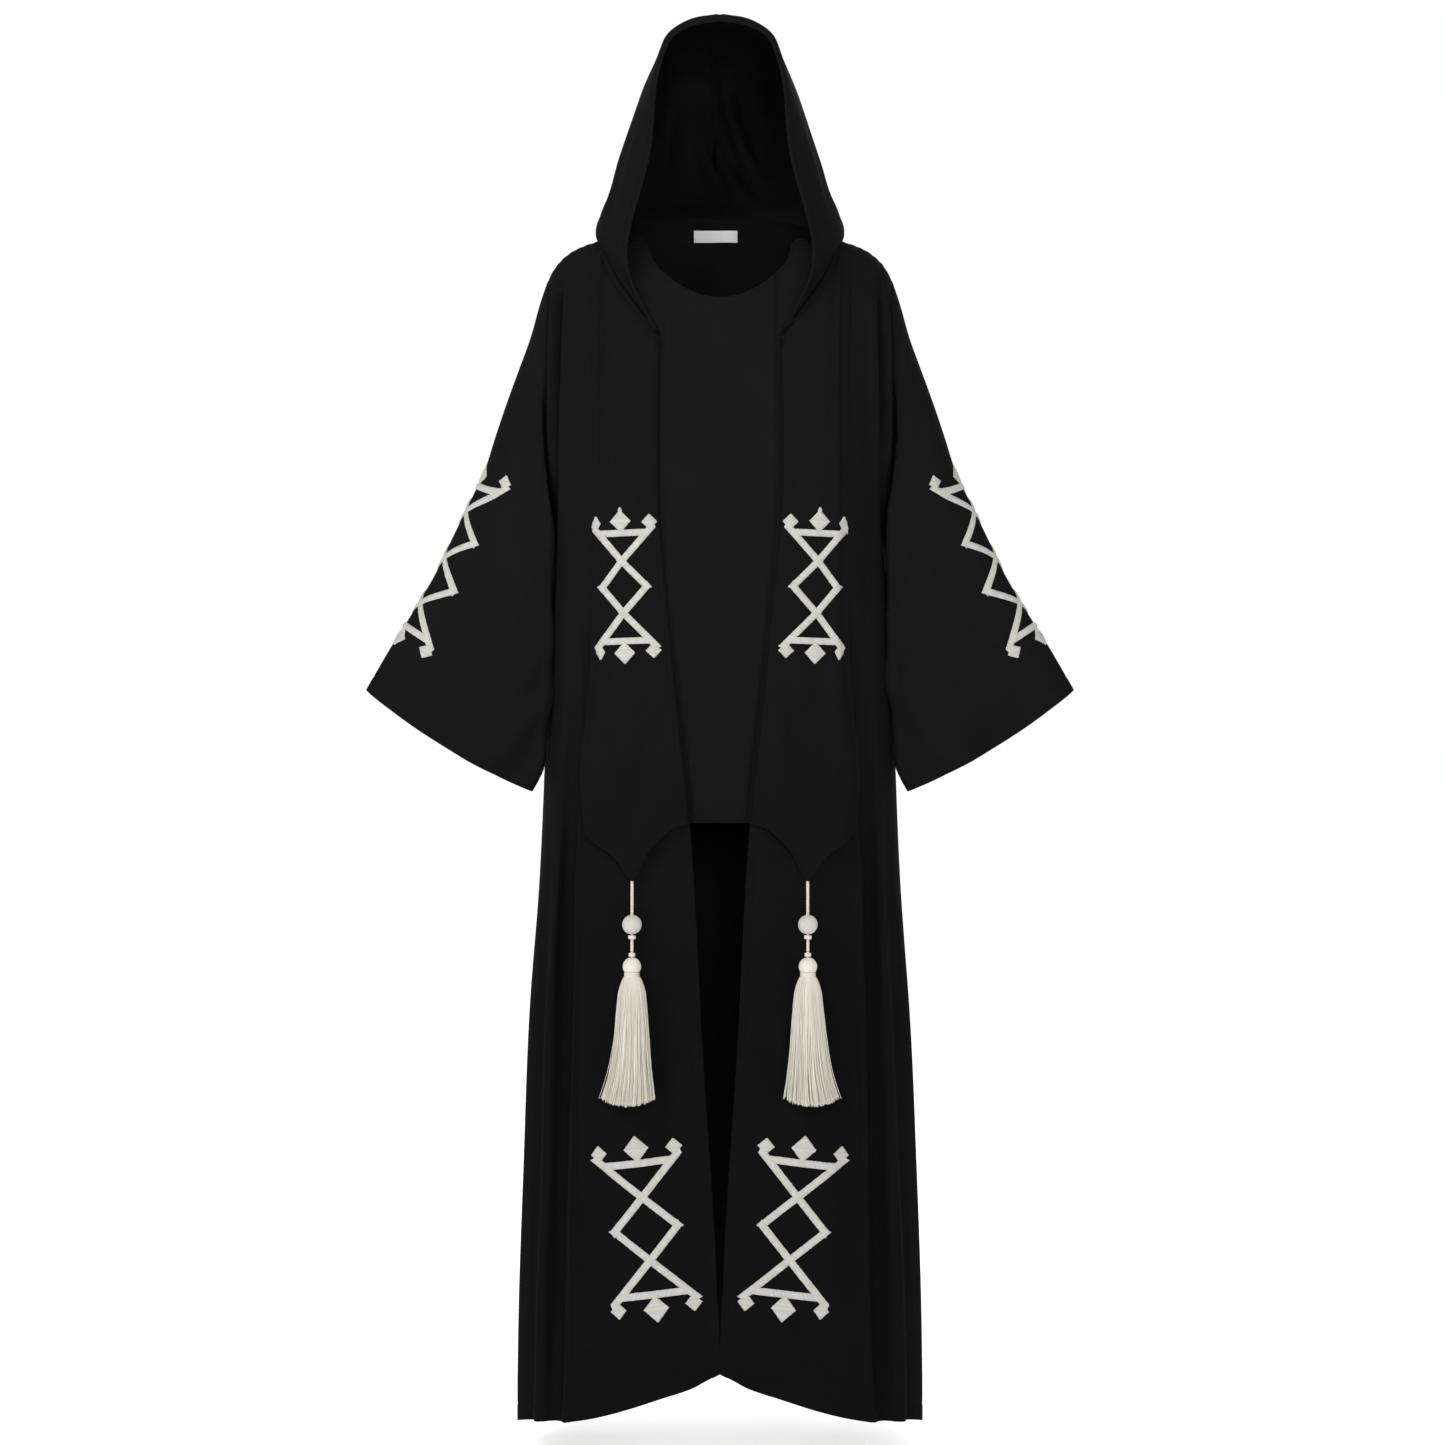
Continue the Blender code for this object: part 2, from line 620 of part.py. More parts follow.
def whole_back(half):
    """The back from its right half, mirrored."""
    points = np.concatenate((half.points[:, :0:-1] * (-1, 1, 1), half.points), axis=1)
    panel = Panel(points, -1)
    panel.normals = np.concatenate((half.normals[:, :0:-1] * (-1, 1, 1), half.normals), axis=1)
    middle = half.points.shape[1] - 1
    panel.flatten_normals([(row, middle) for row in range(points.shape[0])], 0)
    return panel


def in_shape(place, shape):
    """Whether a flat place is inside a convex shape, corners in either order."""
    turns = []
    for k, start in enumerate(shape):
        end = shape[(k + 1) % len(shape)]
        turns.append((end[0] - start[0]) * (place[1] - start[1])
                     - (end[1] - start[1]) * (place[0] - start[0]))
    return min(turns) >= 0 or max(turns) <= 0


def weights(place, corners):
    """Barycentric weights of a flat place in a triangle."""
    (ax, ay), (bx, by), (cx, cy) = corners
    whole = (by - cy) * (ax - cx) + (cx - bx) * (ay - cy)
    first = ((by - cy) * (place[0] - cx) + (cx - bx) * (place[1] - cy)) / whole
    second = ((cy - ay) * (place[0] - cx) + (ax - cx) * (place[1] - cy)) / whole
    return np.array((first, second, 1 - first - second))


def inside_faces(spots, faces, shapes):
    """The faces whose middle is inside any of the convex shapes."""
    middles = [sum((spots[k] for k in face), start=spots[0] * 0) / len(face) for face in faces]
    return [face for face, middle in zip(faces, middles)
            if any(in_shape(middle, shape) for shape in shapes)]


def outline_of(shapes):
    """Corners and edges round the union of the flat shapes."""
    places = []
    outlines = []
    for shape in shapes:
        outlines.append(list(range(len(places), len(places) + len(shape))))
        places += [tuple(corner) for corner in shape]
    found = delaunay_2d_cdt(places, [], outlines, 0, FLAT_MERGE)
    after = dict(rim_edges(inside_faces(found[0], found[2], shapes)))
    order = sorted(after)
    places = [tuple(found[0][corner]) for corner in order]
    return places, [(order.index(start), order.index(end)) for start, end in after.items()]


def layer_on(panel, flat, shapes, layer, inside=False):
    """Points and faces of flat shapes laid on a panel, parallel to each of its facets."""
    side = -1 if inside else 1
    base = (panel.inner() if inside else panel.points).reshape(-1, 3)
    normals = panel.normals.reshape(-1, 3) * side
    flat = np.array(flat).reshape(-1, 2)
    corners = np.array([corner for shape in shapes for corner in shape])
    low = corners.min(axis=0) - FLAT_MARGIN
    high = corners.max(axis=0) + FLAT_MARGIN
    cells = []
    for face in panel.triangles():
        spots = flat[list(face)]
        least = spots.min(axis=0)
        most = spots.max(axis=0)
        if (most > low).all() and (least < high).all() and max(most - least) < FLAT_WIDEST:
            cells.append(face)
    used = sorted({corner for face in cells for corner in face})
    places = [tuple(flat[k]) for k in used]
    edges = [(used.index(face[k]), used.index(face[(k + 1) % 3])) for face in cells for k in range(3)]
    rim_places, rim = outline_of(shapes)
    edges += [(start + len(places), end + len(places)) for start, end in rim]
    places += rim_places
    found = delaunay_2d_cdt(places, edges, [], 0, FLAT_MERGE)
    spots = found[0]
    kept = inside_faces(spots, found[2], shapes)
    order = sorted({k for face in kept for k in face})
    under = []
    over = []
    for k in order:
        best = max(((weights(spots[k], flat[list(face)]), face) for face in cells),
                   key=lambda found: found[0].min())
        spot = best[0] @ base[list(best[1])]
        normal = best[0] @ normals[list(best[1])]
        under.append(spot + normal * SEAM)
        over.append(spot + normal * (SEAM + layer))
    triangles = [tuple(order.index(k) for k in face) for face in kept]
    return closed_wall(np.array(over), np.array(under), triangles)


def motif_shapes(motif):
    """Strokes, bars, end diamonds and hooked corners of the zigzag figure, as flat shapes."""
    quarter = motif["quarter"]
    half = motif["stroke"] / 2
    first = -(motif["crossings"] - 1) * quarter
    middle = np.array((motif["middle"][0], -motif["middle"][1]))
    turn = math.radians(motif["turn"])
    outward = np.array((math.cos(turn), -math.sin(turn)))
    down = np.array((-math.sin(turn), -math.cos(turn)))

    def placed(corners):
        return [tuple(middle + across * outward + below * down) for across, below in corners]

    def stroke(start, end, extra=half):
        start = np.array(start, dtype=float)
        end = np.array(end, dtype=float)
        way = unit(end - start)
        side = np.array((-way[1], way[0])) * half
        start = start - way * extra
        end = end + way * extra
        return placed([start - side, end - side, end + side, start + side])

    def diamond(centre, across, below):
        return placed([(centre[0] + across, centre[1]), (centre[0], centre[1] + below),
                       (centre[0] - across, centre[1]), (centre[0], centre[1] - below)])

    shapes = []
    for crossing in range(motif["crossings"]):
        height = first + 2 * quarter * crossing
        up = HOOK_REACH if crossing == 0 else 1.0
        down_reach = HOOK_REACH if crossing == motif["crossings"] - 1 else 1.0
        widths = {1: motif["outer"], -1: motif["inner"]}
        for side in (1, -1):
            start = (side * widths[side] * up, height - quarter * up)
            end = (-side * widths[-side] * down_reach, height + quarter * down_reach)
            centre = (0.0, height)
            shapes.append(stroke(start, centre, half * 0.8))
            shapes.append(stroke(centre, end, half * 0.8))
    for facing, height in ((-1, first), (1, -first)):
        bar = height + facing * BAR_REACH * quarter
        shapes.append(stroke((-BAR_REACH * motif["inner"], bar), (BAR_REACH * motif["outer"], bar), 0))
        tip = height + facing * END_DIAMOND_REACH * quarter
        size = END_DIAMOND_SIZE * quarter
        shapes.append(diamond((0.0, tip), size * 0.93, size))
        for side, width in ((-1, motif["inner"]), (1, motif["outer"])):
            corner = (side * HOOK_ACROSS * width, height + facing * HOOK_BELOW * quarter)
            shapes.append(diamond(corner, HOOK_SIZE * half, HOOK_SIZE * half))
    return shapes


def sleeve_flat(panel):
    """Flat places on the sleeve: distance round from its top fold, and down along it."""
    count = panel.points.shape[1]
    ridge = panel.points[:, 0]
    steps = np.linalg.norm(np.diff(ridge, axis=0), axis=1)
    lengths = np.concatenate(([0.0], np.cumsum(steps)))
    zero = np.interp(SLEEVE_MOTIF_DROP, -ridge[:, 2], lengths)
    tangents = np.gradient(ridge, axis=0)
    flat = np.zeros((*panel.points.shape[:2], 2))
    for row in range(len(ridge)):
        way = unit(tangents[row])
        for side in (1, -1):
            place = np.array((0.0, zero - lengths[row]))
            for k in range(count // 2 + 1):
                flat[row, (side * k) % count] = place
                step = panel.points[row, side * (k + 1) % count] - panel.points[row, side * k % count]
                down = float(step @ way)
                place = place + (side * math.sqrt(max(step @ step - down * down, 0.0)), -down)
    return flat


def turned_rings(profile, top):
    """Rings of points round a leaning centre line, one for each (drop, radius)."""
    points = []
    for drop, radius in profile:
        centre = np.array(top) + (0.0, -TASSEL_LEAN * drop, -drop)
        for k in range(TURNED_SIDES):
            turn = 2 * math.pi * k / TURNED_SIDES
            points.append(centre + (radius * math.cos(turn), radius * math.sin(turn), 0.0))
    return points


def ring_faces(first, second, count):
    """Quads between two rings that start at the given points."""
    return [(first + k, first + (k + 1) % count, second + (k + 1) % count, second + k)
            for k in range(count)]


def tassel_profile():
    """(drop, radius) from the stem's top down to the neck under the head."""
    ball = [math.radians(turn) for turn in HEAD_TURNS]
    profile = [(0.0, STEM_RADIUS)]
    for middle, radius in ((COLLAR_DROP, COLLAR_RADIUS), (KNOT_DROP, KNOT_RADIUS)):
        profile += [(middle - COLLAR_HALF, STEM_RADIUS), (middle - COLLAR_BAND, radius),
                    (middle + COLLAR_BAND, radius), (middle + COLLAR_HALF, STEM_RADIUS)]
    profile += [(HEAD_DROP - HEAD_RADIUS * math.cos(turn), HEAD_RADIUS * math.sin(turn))
                for turn in ball]
    return profile + [(NECK_DROP, NECK_RADIUS), (NECK_DROP + NECK_BAND, NECK_RADIUS)]


def tassel_body(top):
    """Stem, collar, knot and head turned in one, with the strands rooted in the head."""
    profile = tassel_profile()
    points = turned_rings(profile, top)
    faces = [tuple(range(TURNED_SIDES))]
    for ring in range(len(profile) - 1):
        faces += ring_faces(ring * TURNED_SIDES, (ring + 1) * TURNED_SIDES, TURNED_SIDES)
    neck = len(points) - TURNED_SIDES
    neck_drop = profile[-1][0]
    places = [(points[neck + k][0] - top[0], points[neck + k][1] - top[1])
              for k in range(TURNED_SIDES)]
    rim = [(k, (k + 1) % TURNED_SIDES) for k in range(TURNED_SIDES)]
    roots = []
    names = list(range(neck, neck + TURNED_SIDES))
    for strand in range(STRANDS):
        reach_out = math.sqrt((strand + 0.5) / STRANDS)
        turn = strand * math.pi * (3 - math.sqrt(5))
        first = len(points)
        for fall, across, deep, thick in STRAND_LEVELS:
            drop = neck_drop + fall * (1 + STRAND_UNEVEN * math.sin(5 * strand))
            for corner in range(STRAND_SIDES):
                way = turn + 2 * math.pi * corner / STRAND_SIDES
                points.append(np.array(top) + (
                    reach_out * across * math.cos(turn) + thick * math.cos(way),
                    reach_out * deep * math.sin(turn) + thick * math.sin(way) - TASSEL_LEAN * drop,
                    -drop))
        for ring in range(first, first + STRAND_SIDES * (len(STRAND_LEVELS) - 1), STRAND_SIDES):
            faces += ring_faces(ring, ring + STRAND_SIDES, STRAND_SIDES)
        faces.append(tuple(range(len(points) - STRAND_SIDES, len(points))))
        roots.append(list(range(len(places), len(places) + STRAND_SIDES)))
        places += [(point[0] - top[0], point[1] - top[1])
                   for point in points[first:first + STRAND_SIDES]]
        names += range(first, first + STRAND_SIDES)
    found = delaunay_2d_cdt(places, rim, roots, 0, ROOT_MERGE)
    for face in found[2]:
        corners = [found[3][k][0] for k in face]
        middle = sum((np.array(places[k]) for k in corners), start=np.zeros(2)) / 3
        if not any(in_shape(middle, [places[k] for k in root]) for root in roots):
            faces.append(tuple(names[k] for k in corners))
    return points, faces


def bead_body(top):
    """Round bead with a bore that clears the stem."""
    bore = (STEM_RADIUS + SEAM) / math.cos(math.pi / TURNED_SIDES)
    first = math.asin(bore / BEAD_RADIUS)
    turns = [first + (math.pi - 2 * first) * k / BEAD_STEPS for k in range(BEAD_STEPS + 1)]
    profile = [(BEAD_DROP - BEAD_RADIUS * math.cos(turn), BEAD_RADIUS * math.sin(turn))
               for turn in turns]
    points = turned_rings(profile, top)
    faces = []
    for ring in range(len(profile)):
        after = (ring + 1) % len(profile)
        faces += ring_faces(ring * TURNED_SIDES, after * TURNED_SIDES, TURNED_SIDES)
    return points, faces


def add_both(name, body, finish):
    """A piece at the right and its mirror image at the left."""
    points, faces = body
    add_object(name + "_right", points, faces, finish)
    add_object(name + "_left", [point * (-1, 1, 1) for point in np.array(points)], faces, finish)


def wall_of(panel):
    """Points and faces of a panel's closed wall."""
    outer = panel.points.reshape(-1, 3)
    return closed_wall(outer, panel.inner().reshape(-1, 3), panel.triangles())


def build():
    for old in list(bpy.data.objects):
        bpy.data.objects.remove(old)
    crepe = material("black_crepe", (0.011, 0.011, 0.012), 0.80)
    wool = material("ivory_embroidery", (0.72, 0.69, 0.61), 0.85)
    thread = material("ivory_thread", (0.76, 0.73, 0.65), 0.60)
    tape = material("white_satin", (0.80, 0.80, 0.80), 0.45)

    front = body_panel(FRONT_DEPTHS, FRONT_HEM, FRONT_NECK,
                       lambda drop: along(FRONT_EDGES, drop), -1)
    back = body_panel(BACK_DEPTHS, BACK_HEM, BACK_NECK, lambda drop: 0.0, 1)
    sleeve = sleeve_panel(front, back)
    hood = hood_panel(front, back)
    join_seams(front, back, sleeve, hood)
    stole = stole_panel()
    rear = whole_back(back)
    chest = inner_panel()

    add_both("front", wall_of(front), crepe)
    add_object("back", *wall_of(rear), crepe)
    add_both("sleeve", wall_of(sleeve), crepe)
    add_both("hood", wall_of(hood), crepe)
    add_both("stole", wall_of(stole), crepe)
    add_object("inner_panel", *wall_of(chest), crepe)

    flat_rear = rear.inner()[..., (0, 2)]
    wide, high = LABEL_SIZE[0] / 2, LABEL_SIZE[1] / 2
    label = [(LABEL_MIDDLE[0] + across * wide, LABEL_MIDDLE[1] + up * high)
             for across, up in ((-1, -1), (1, -1), (1, 1), (-1, 1))]
    add_object("neck_label", *layer_on(rear, flat_rear, [label], LABEL_LAYER, inside=True), tape)

    add_both("motif_chest", layer_on(stole, stole.points[..., (0, 2)],
                                     motif_shapes(CHEST_MOTIF), MOTIF_LAYER), wool)
    add_both("motif_skirt", layer_on(front, front.points[..., (0, 2)],
                                     motif_shapes(SKIRT_MOTIF), MOTIF_LAYER), wool)
    add_both("motif_sleeve", layer_on(sleeve, sleeve_flat(sleeve),
                                      motif_shapes(SLEEVE_MOTIF), MOTIF_LAYER), wool)

    tip = int(np.argmin(stole.points[0, :, 2]))
    top = stole.points[0, tip] - stole.normals[0, tip] * CLOTH / 2 - (0, 0, SEAM)
    add_both("tassel", tassel_body(top), thread)
    add_both("bead", bead_body(top), thread)


def join_seams(front, back, sleeve, hood):
    """Shared mitres where sleeve and hood meet the body."""
    top = SKIRT_ROWS + ARM_ROWS
    for k in range(2 * ARM_ROWS):
        if k <= ARM_ROWS:
            body, cell = front, (top - k, COLUMNS)
        else:
            body, cell = back, (top - 2 * ARM_ROWS + k, COLUMNS)
        meet(body, [cell], sleeve, [(0, k)])
    back.normals[top, COLUMNS] = front.normals[top, COLUMNS]
    for k in range(2 * NECK_COLUMNS + 1):
        if k < NECK_COLUMNS:
            body, cell = front, (top, k)
        else:
            body, cell = back, (top, 2 * NECK_COLUMNS - k)
        meet(body, [cell], hood, [(0, k)])
    front.normals[top, NECK_COLUMNS] = back.normals[top, NECK_COLUMNS]


build()
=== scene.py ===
"""Looks of the hooded open kaftan: cloth, embroidery, tassels, label, studio and camera.

Metres, +Z up, the front towards -Y, the origin at the base of the neck. A drop is a distance
below the origin. Right pieces lie at +X and left ones at -X. Each cloth piece is a fine grid
over its CAD solid's form, with its creases, hems and seams added.
"""
import math

import bpy
import numpy as np
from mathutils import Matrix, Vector
from mathutils.bvhtree import BVHTree


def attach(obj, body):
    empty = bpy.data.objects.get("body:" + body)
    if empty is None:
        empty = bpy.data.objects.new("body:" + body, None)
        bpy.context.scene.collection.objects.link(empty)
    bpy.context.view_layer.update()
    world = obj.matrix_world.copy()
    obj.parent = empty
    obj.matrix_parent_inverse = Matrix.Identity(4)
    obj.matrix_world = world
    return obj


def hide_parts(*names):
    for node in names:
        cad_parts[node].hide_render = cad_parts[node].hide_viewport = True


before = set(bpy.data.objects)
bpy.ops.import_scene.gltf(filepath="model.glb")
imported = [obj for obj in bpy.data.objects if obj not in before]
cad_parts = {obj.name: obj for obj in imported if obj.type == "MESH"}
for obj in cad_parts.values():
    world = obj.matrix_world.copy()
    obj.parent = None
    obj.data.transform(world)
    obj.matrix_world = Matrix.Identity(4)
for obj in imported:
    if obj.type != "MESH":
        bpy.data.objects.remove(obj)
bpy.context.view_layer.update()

# (name, side of X) of the two halves
HALVES = (("right", 1), ("left", -1))

# Cloth, hems and seams
CLOTH = 0.0016
HEM_EXTRA = 0.0008
EDGE_ROUND = 0.0009
STITCH_IN = 0.0016
STITCH_DIP = 0.0004
STITCH_SKIP = 0.012
HEM_ROLL = 0.0004
SEAM_DIP = 0.0009
SEAM_REACH = 0.0022
SEAM_HOLD = 0.010
ARM_DIP = 0.0085
ARM_REACH = 0.0032
ARM_FOLD_TOP = (0.050, 0.085)
ARM_FOLD_END = (0.235, 0.285)
HOOD_SEAM_DIP = 0.0022
SEAM_FADE = 0.040
HOOD_TWIST = 0.009
TWIST_BACK = (-0.03, 0.07)
TWIST_UP = (0.05, 0.13)
TWIST_ACROSS = (0.030, 0.090)
BLUNT_REACH = (0.012, 0.030)
BLUNT_WAY = (0.20, 0.93, 0.20)
SEAM_LAP = 0.0009
NECK_FOLD = 0.0030
NECK_FRONT = (-0.090, -0.050)
NAPE = (-0.01, 0.04)
NECK_ROLL = 0.0030
NECK_ROLL_AT = 0.011
NECK_ROLL_WIDTH = 0.007
NECK_ROLL_FRONT = (-0.090, -0.040)
NECK_ROLL_START = (0.001, 0.012)
PUCKER = 0.00035
PUCKER_STEP = 0.011
PUCKER_AT = 0.006
PUCKER_WIDTH = 0.0025

# Body, as in the CAD
UNDERARM = 0.300
SHOULDER_TIP = (0.2058, 0.048)
ARM_DEPTH = 0.064
FULLNESS = 2.8
SHOULDER_ROUND = 2.2
WIDTHS = [
    (0.048, 0.2058), (0.160, 0.2055), (0.300, 0.2050), (0.360, 0.2000), (0.475, 0.2040),
    (0.630, 0.2100), (0.768, 0.2160), (0.912, 0.2256), (1.056, 0.2316), (1.248, 0.2380),
    (1.416, 0.2400),
]
FRONT_DEPTHS = [
    (0.000, 0.112), (0.300, 0.118), (0.500, 0.116), (0.660, 0.117), (0.900, 0.122),
    (1.150, 0.128), (1.416, 0.135),
]
BACK_DEPTHS = [
    (-0.040, 0.105), (0.150, 0.112), (0.300, 0.108), (0.480, 0.100), (0.660, 0.110),
    (0.900, 0.124), (1.150, 0.136), (1.416, 0.146),
]
SHOULDERS = [
    (0.000, 0.056), (0.040, 0.051), (0.086, 0.035), (0.120, 0.0135), (0.146, -0.002),
    (0.162, -0.0075), (0.182, -0.018), (0.197, -0.033), (0.2058, -0.048),
]
FRONT_EDGES = [
    (0.1253, 0.0703), (0.3043, 0.0716), (0.5129, 0.0542), (0.698, 0.0349), (0.960, 0.0200),
    (1.248, 0.0035), (1.340, 0.0035),
]
FRONT_HEM = [
    (0.00, 1.3350), (0.03, 1.3500), (0.06, 1.3568), (0.10, 1.3630), (0.20, 1.3765),
    (0.30, 1.3864), (0.40, 1.3932), (0.50, 1.3971), (0.62, 1.3992), (0.75, 1.4018),
    (1.00, 1.4140),
]
BACK_EDGES = [(0.0, 0.0), (1.5, 0.0)]
BACK_HEM = [(0.00, 1.380), (0.50, 1.388), (0.80, 1.402), (1.00, 1.414)]
FRONT_NECK = [
    (0.0703, 0.1253), (0.094, 0.0922), (0.1144, 0.0641), (0.128, 0.0392), (0.146, 0.002),
]
BACK_NECK = [(0.0, -0.0315), (0.040, -0.031), (0.086, -0.025), (0.122, -0.0105), (0.146, 0.002)]
# (around at the top, around at the hem, drop where it starts, drop where it is full,
#  half width around, height)
FOLDS_END = 1.4
FOLDS = [
    (0.47, 0.475, 0.72, 0.95, 0.035, 0.0045), (0.54, 0.55, 0.30, 0.80, 0.045, -0.0070),
    (0.64, 0.64, 0.60, 1.00, 0.045, 0.0050), (0.75, 0.73, 0.66, 1.00, 0.045, -0.0050),
    (0.88, 0.87, 0.75, 1.05, 0.050, 0.0040), (1.14, 1.16, 0.70, 1.00, 0.060, -0.0060),
    (1.30, 1.27, 0.45, 0.90, 0.070, 0.0075), (1.46, 1.43, 0.30, 0.80, 0.070, -0.0080),
    (1.64, 1.60, 0.40, 0.95, 0.080, 0.0070), (1.84, 1.80, 0.25, 0.80, 0.080, -0.0070),
]

# Sleeves, as in the CAD
SLEEVE_TOP = [
    (0.2058, 0.048), (0.2142, 0.072), (0.228, 0.120), (0.2412, 0.156), (0.2544, 0.192),
    (0.2706, 0.240), (0.2808, 0.2724), (0.3036, 0.3216), (0.3216, 0.3588), (0.3372, 0.3924),
    (0.3588, 0.4308), (0.3942, 0.4872), (0.4248, 0.540),
]
SLEEVE_UNDER = [
    (0.2055, 0.300), (0.2012, 0.325), (0.1968, 0.360), (0.1983, 0.420), (0.2005, 0.480),
    (0.2030, 0.540), (0.2054, 0.600), (0.2080, 0.632), (0.2224, 0.661),
]
UNDER_FORWARD = 0.046
UNDER_REACH = 0.12
UNDER_WIDTH = 0.30
HOLE_REACH = 0.4
CUFF_BEHIND = 0.0045
SLEEVE_DEPTHS = [(0.0, 0.055), (0.3, 0.052), (0.6, 0.047), (1.0, 0.043)]
CUFF_SAG = 0.008
# (share down from the top fold, share along where it is full, half width, height)
SLEEVE_FOLDS_START = 0.15
SLEEVE_FOLDS = [
    (0.34, 0.75, 0.10, -0.0045), (0.60, 0.85, 0.11, 0.0050), (0.82, 0.60, 0.09, -0.0040),
]

# Hood, as in the CAD: its arches. Place along the neck seam, then (x, y, z) of the bulge, the
# flank and the brow, and (y, z) of the crown
HOOD_ARCHES = np.array([
    (0, 0.106, -0.097, -0.052, 0.08, -0.103, 0.092, 0.065, -0.106, 0.2, -0.107, 0.24),
    (0.07, 0.116, -0.087, -0.036, 0.0885, -0.096, 0.093, 0.07, -0.101, 0.201, -0.101, 0.248),
    (0.28, 0.14, -0.05, 0, 0.117, -0.054, 0.074, 0.0735, -0.06, 0.205, -0.06, 0.2565),
    (0.5, 0.1474, 0, 0.01, 0.126, 0, 0.062, 0.0755, 0, 0.207, 0, 0.268),
    (0.7, 0.119, 0.049, 0.056, 0.104, 0.06, 0.122, 0.067, 0.064, 0.196, 0.068, 0.248),
    (0.87, 0.07, 0.074, 0.062, 0.074, 0.098, 0.11, 0.047, 0.106, 0.158, 0.111, 0.188),
    (1, 0, 0.066, 0.044, 0, 0.086, 0.06, 0, 0.101, 0.08, 0.112, 0.104),
])

# Overlay panels, as in the CAD. A row counts from 0 at the hem to 15 at the neck.
STOLE_NECK = [
    (0.0703, 0.1310), (0.0975, 0.0960), (0.1190, 0.0680), (0.1340, 0.0430), (0.1500, 0.0120),
    (0.1545, 0.0125),
]
STOLE_EDGES = [
    (0.0125, 0.1545), (0.150, 0.1500), (0.380, 0.1490), (0.540, 0.1520), (0.640, 0.1600),
    (0.712, 0.1550),
]
STOLE_HEM = [
    (0.00, 0.698), (0.08, 0.6995), (0.27, 0.7143), (0.42, 0.7370), (0.506, 0.7590),
    (0.546, 0.7640), (0.586, 0.7590), (0.70, 0.7395), (1.00, 0.7122),
]
STOLE_TIP = 0.546
ROWS_BELOW = 6
ROWS_ABOVE = 9
EDGE_LIFT = 0.0008
STOLE_LIFT = 0.0022
STOLE_NEAR = 0.3
STOLE_NECK_ROWS = 3
STOLE_ROLL = 0.0035
STOLE_ROLL_AT = 0.88
STOLE_ROLL_WIDTH = 0.10
STOLE_HANG = 0.0080

# Inner panel, as in the CAD
INNER_NECK = [
    (0.0, 0.0797), (0.020, 0.0775), (0.039, 0.0695), (0.055, 0.0590), (0.0685, 0.0465),
    (0.0805, 0.0300), (0.0875, 0.0080), (0.1010, 0.0040), (0.1200, 0.0170),
]
INNER_HEM_DROP = 0.696
INNER_HEM_HALF = 0.0520
INNER_MID_HALF = 0.0850
INNER_LIFT = 0.0010
INNER_RISE = 0.0030
INNER_RISE_END = (-0.0085, -0.0015)

# Label, as in the CAD
LABEL_MIDDLE = (-0.0054, 0.0127)
LABEL_SIZE = (0.053, 0.0134)
LABEL_THICK = 0.0006
LABEL_LIFT = 0.0004
LABEL_BOW = 0.0003
LABEL_EDGE = 0.0004
LABEL_STITCH = 0.0005
LABEL_STITCH_LIFT = (0.0008, 0.0016, 0.0008)
LABEL_STITCH_RADIUS = 0.00018

# Embroidered figures, as in the CAD
CHEST_MOTIF = {"middle": (0.1136, 0.4211), "quarter": 0.0303, "inner": 0.0285, "outer": 0.0238,
               "stroke": 0.0084, "crossings": 2, "turn": 2.0, "outer_hook": 0.55, "nub": 0.0038}
SKIRT_MOTIF = {"middle": (0.0857, 1.1676), "quarter": 0.0367, "inner": 0.0371, "outer": 0.0371,
               "stroke": 0.0092, "crossings": 2, "turn": 7.4, "outer_hook": 0.90}
SLEEVE_MOTIF = {"middle": (0.0110, 0.0), "quarter": 0.0305, "inner": 0.0345, "outer": 0.0375,
                "stroke": 0.0086, "crossings": 3, "turn": 0.0, "outer_hook": 1.0}
SLEEVE_MOTIF_DROP = 0.3805
HOOK_REACH = 1.30
HOOK_ACROSS = 1.19
HOOK_BELOW = 1.48
HOOK_SIZE = 2.052
BAR_REACH = 1.08
END_DIAMOND_REACH = 1.54
END_DIAMOND_SIZE = 0.41
END_DIAMOND_WIDE = 0.93

# Embroidery thread: pitch, radius, slant across a stroke, height of the padded middle
THREAD_PITCH = 0.00075
THREAD_RADIUS = 0.00052
THREAD_SLANT = 0.45
THREAD_CROWN = 0.0011
THREAD_LIFT = 0.0002
THREAD_STEPS = 6
CROWN_FULLNESS = 0.7
DIAMOND_CROWN = 1.15
STROKE_UNEVEN = (0.94, 1.05)
DIAMOND_UNEVEN = (0.96, 1.04)
CROWN_UNEVEN = (0.90, 1.10)

# Tassels, as in the CAD, from the cord's top down
TASSEL_LEAN = 0.085
STEM_RADIUS = 0.0019
CORD_TWIST = 0.0075
PLY_AT = 0.46
PLY_RADIUS = 0.56
CORD_STEPS = 260
BEAD_RADIUS = 0.0113
BEAD_DROP = 0.0497
COLLAR_DROP = 0.0641
COLLAR_RADIUS = 0.0046
KNOT_DROP = 0.0845
KNOT_RADIUS = 0.0040
HEAD_DROP = 0.0981
HEAD_RADIUS = 0.01065
NECK_DROP = 0.1074
NECK_RADIUS = 0.0088
BALL_THREAD = 0.0005
BALL_TURN = 0.5
BALL_STEPS = 15
BEAD_THREADS = 76
BEAD_THREAD = 0.00058
HEAD_THREADS = 70
HEAD_THREAD = 0.0006
WINDING_HALF = 0.0019
WINDING_INSET = 0.0007
WINDING_BULGE = 90
WINDING_TURNS = 4
WINDING_RISE = 0.0003
WINDING_THREAD = 0.00075
BINDING_ABOVE = 0.0026
BINDING_BELOW = 0.0022
BINDING_INSET = 0.0002
BINDING_TURNS = 5
BINDING_RISE = 0.0002
BINDING_THREAD = 0.0006
CORE_INSET = 0.0006
CORE_SIDES = 40
CORE_ROWS = 20
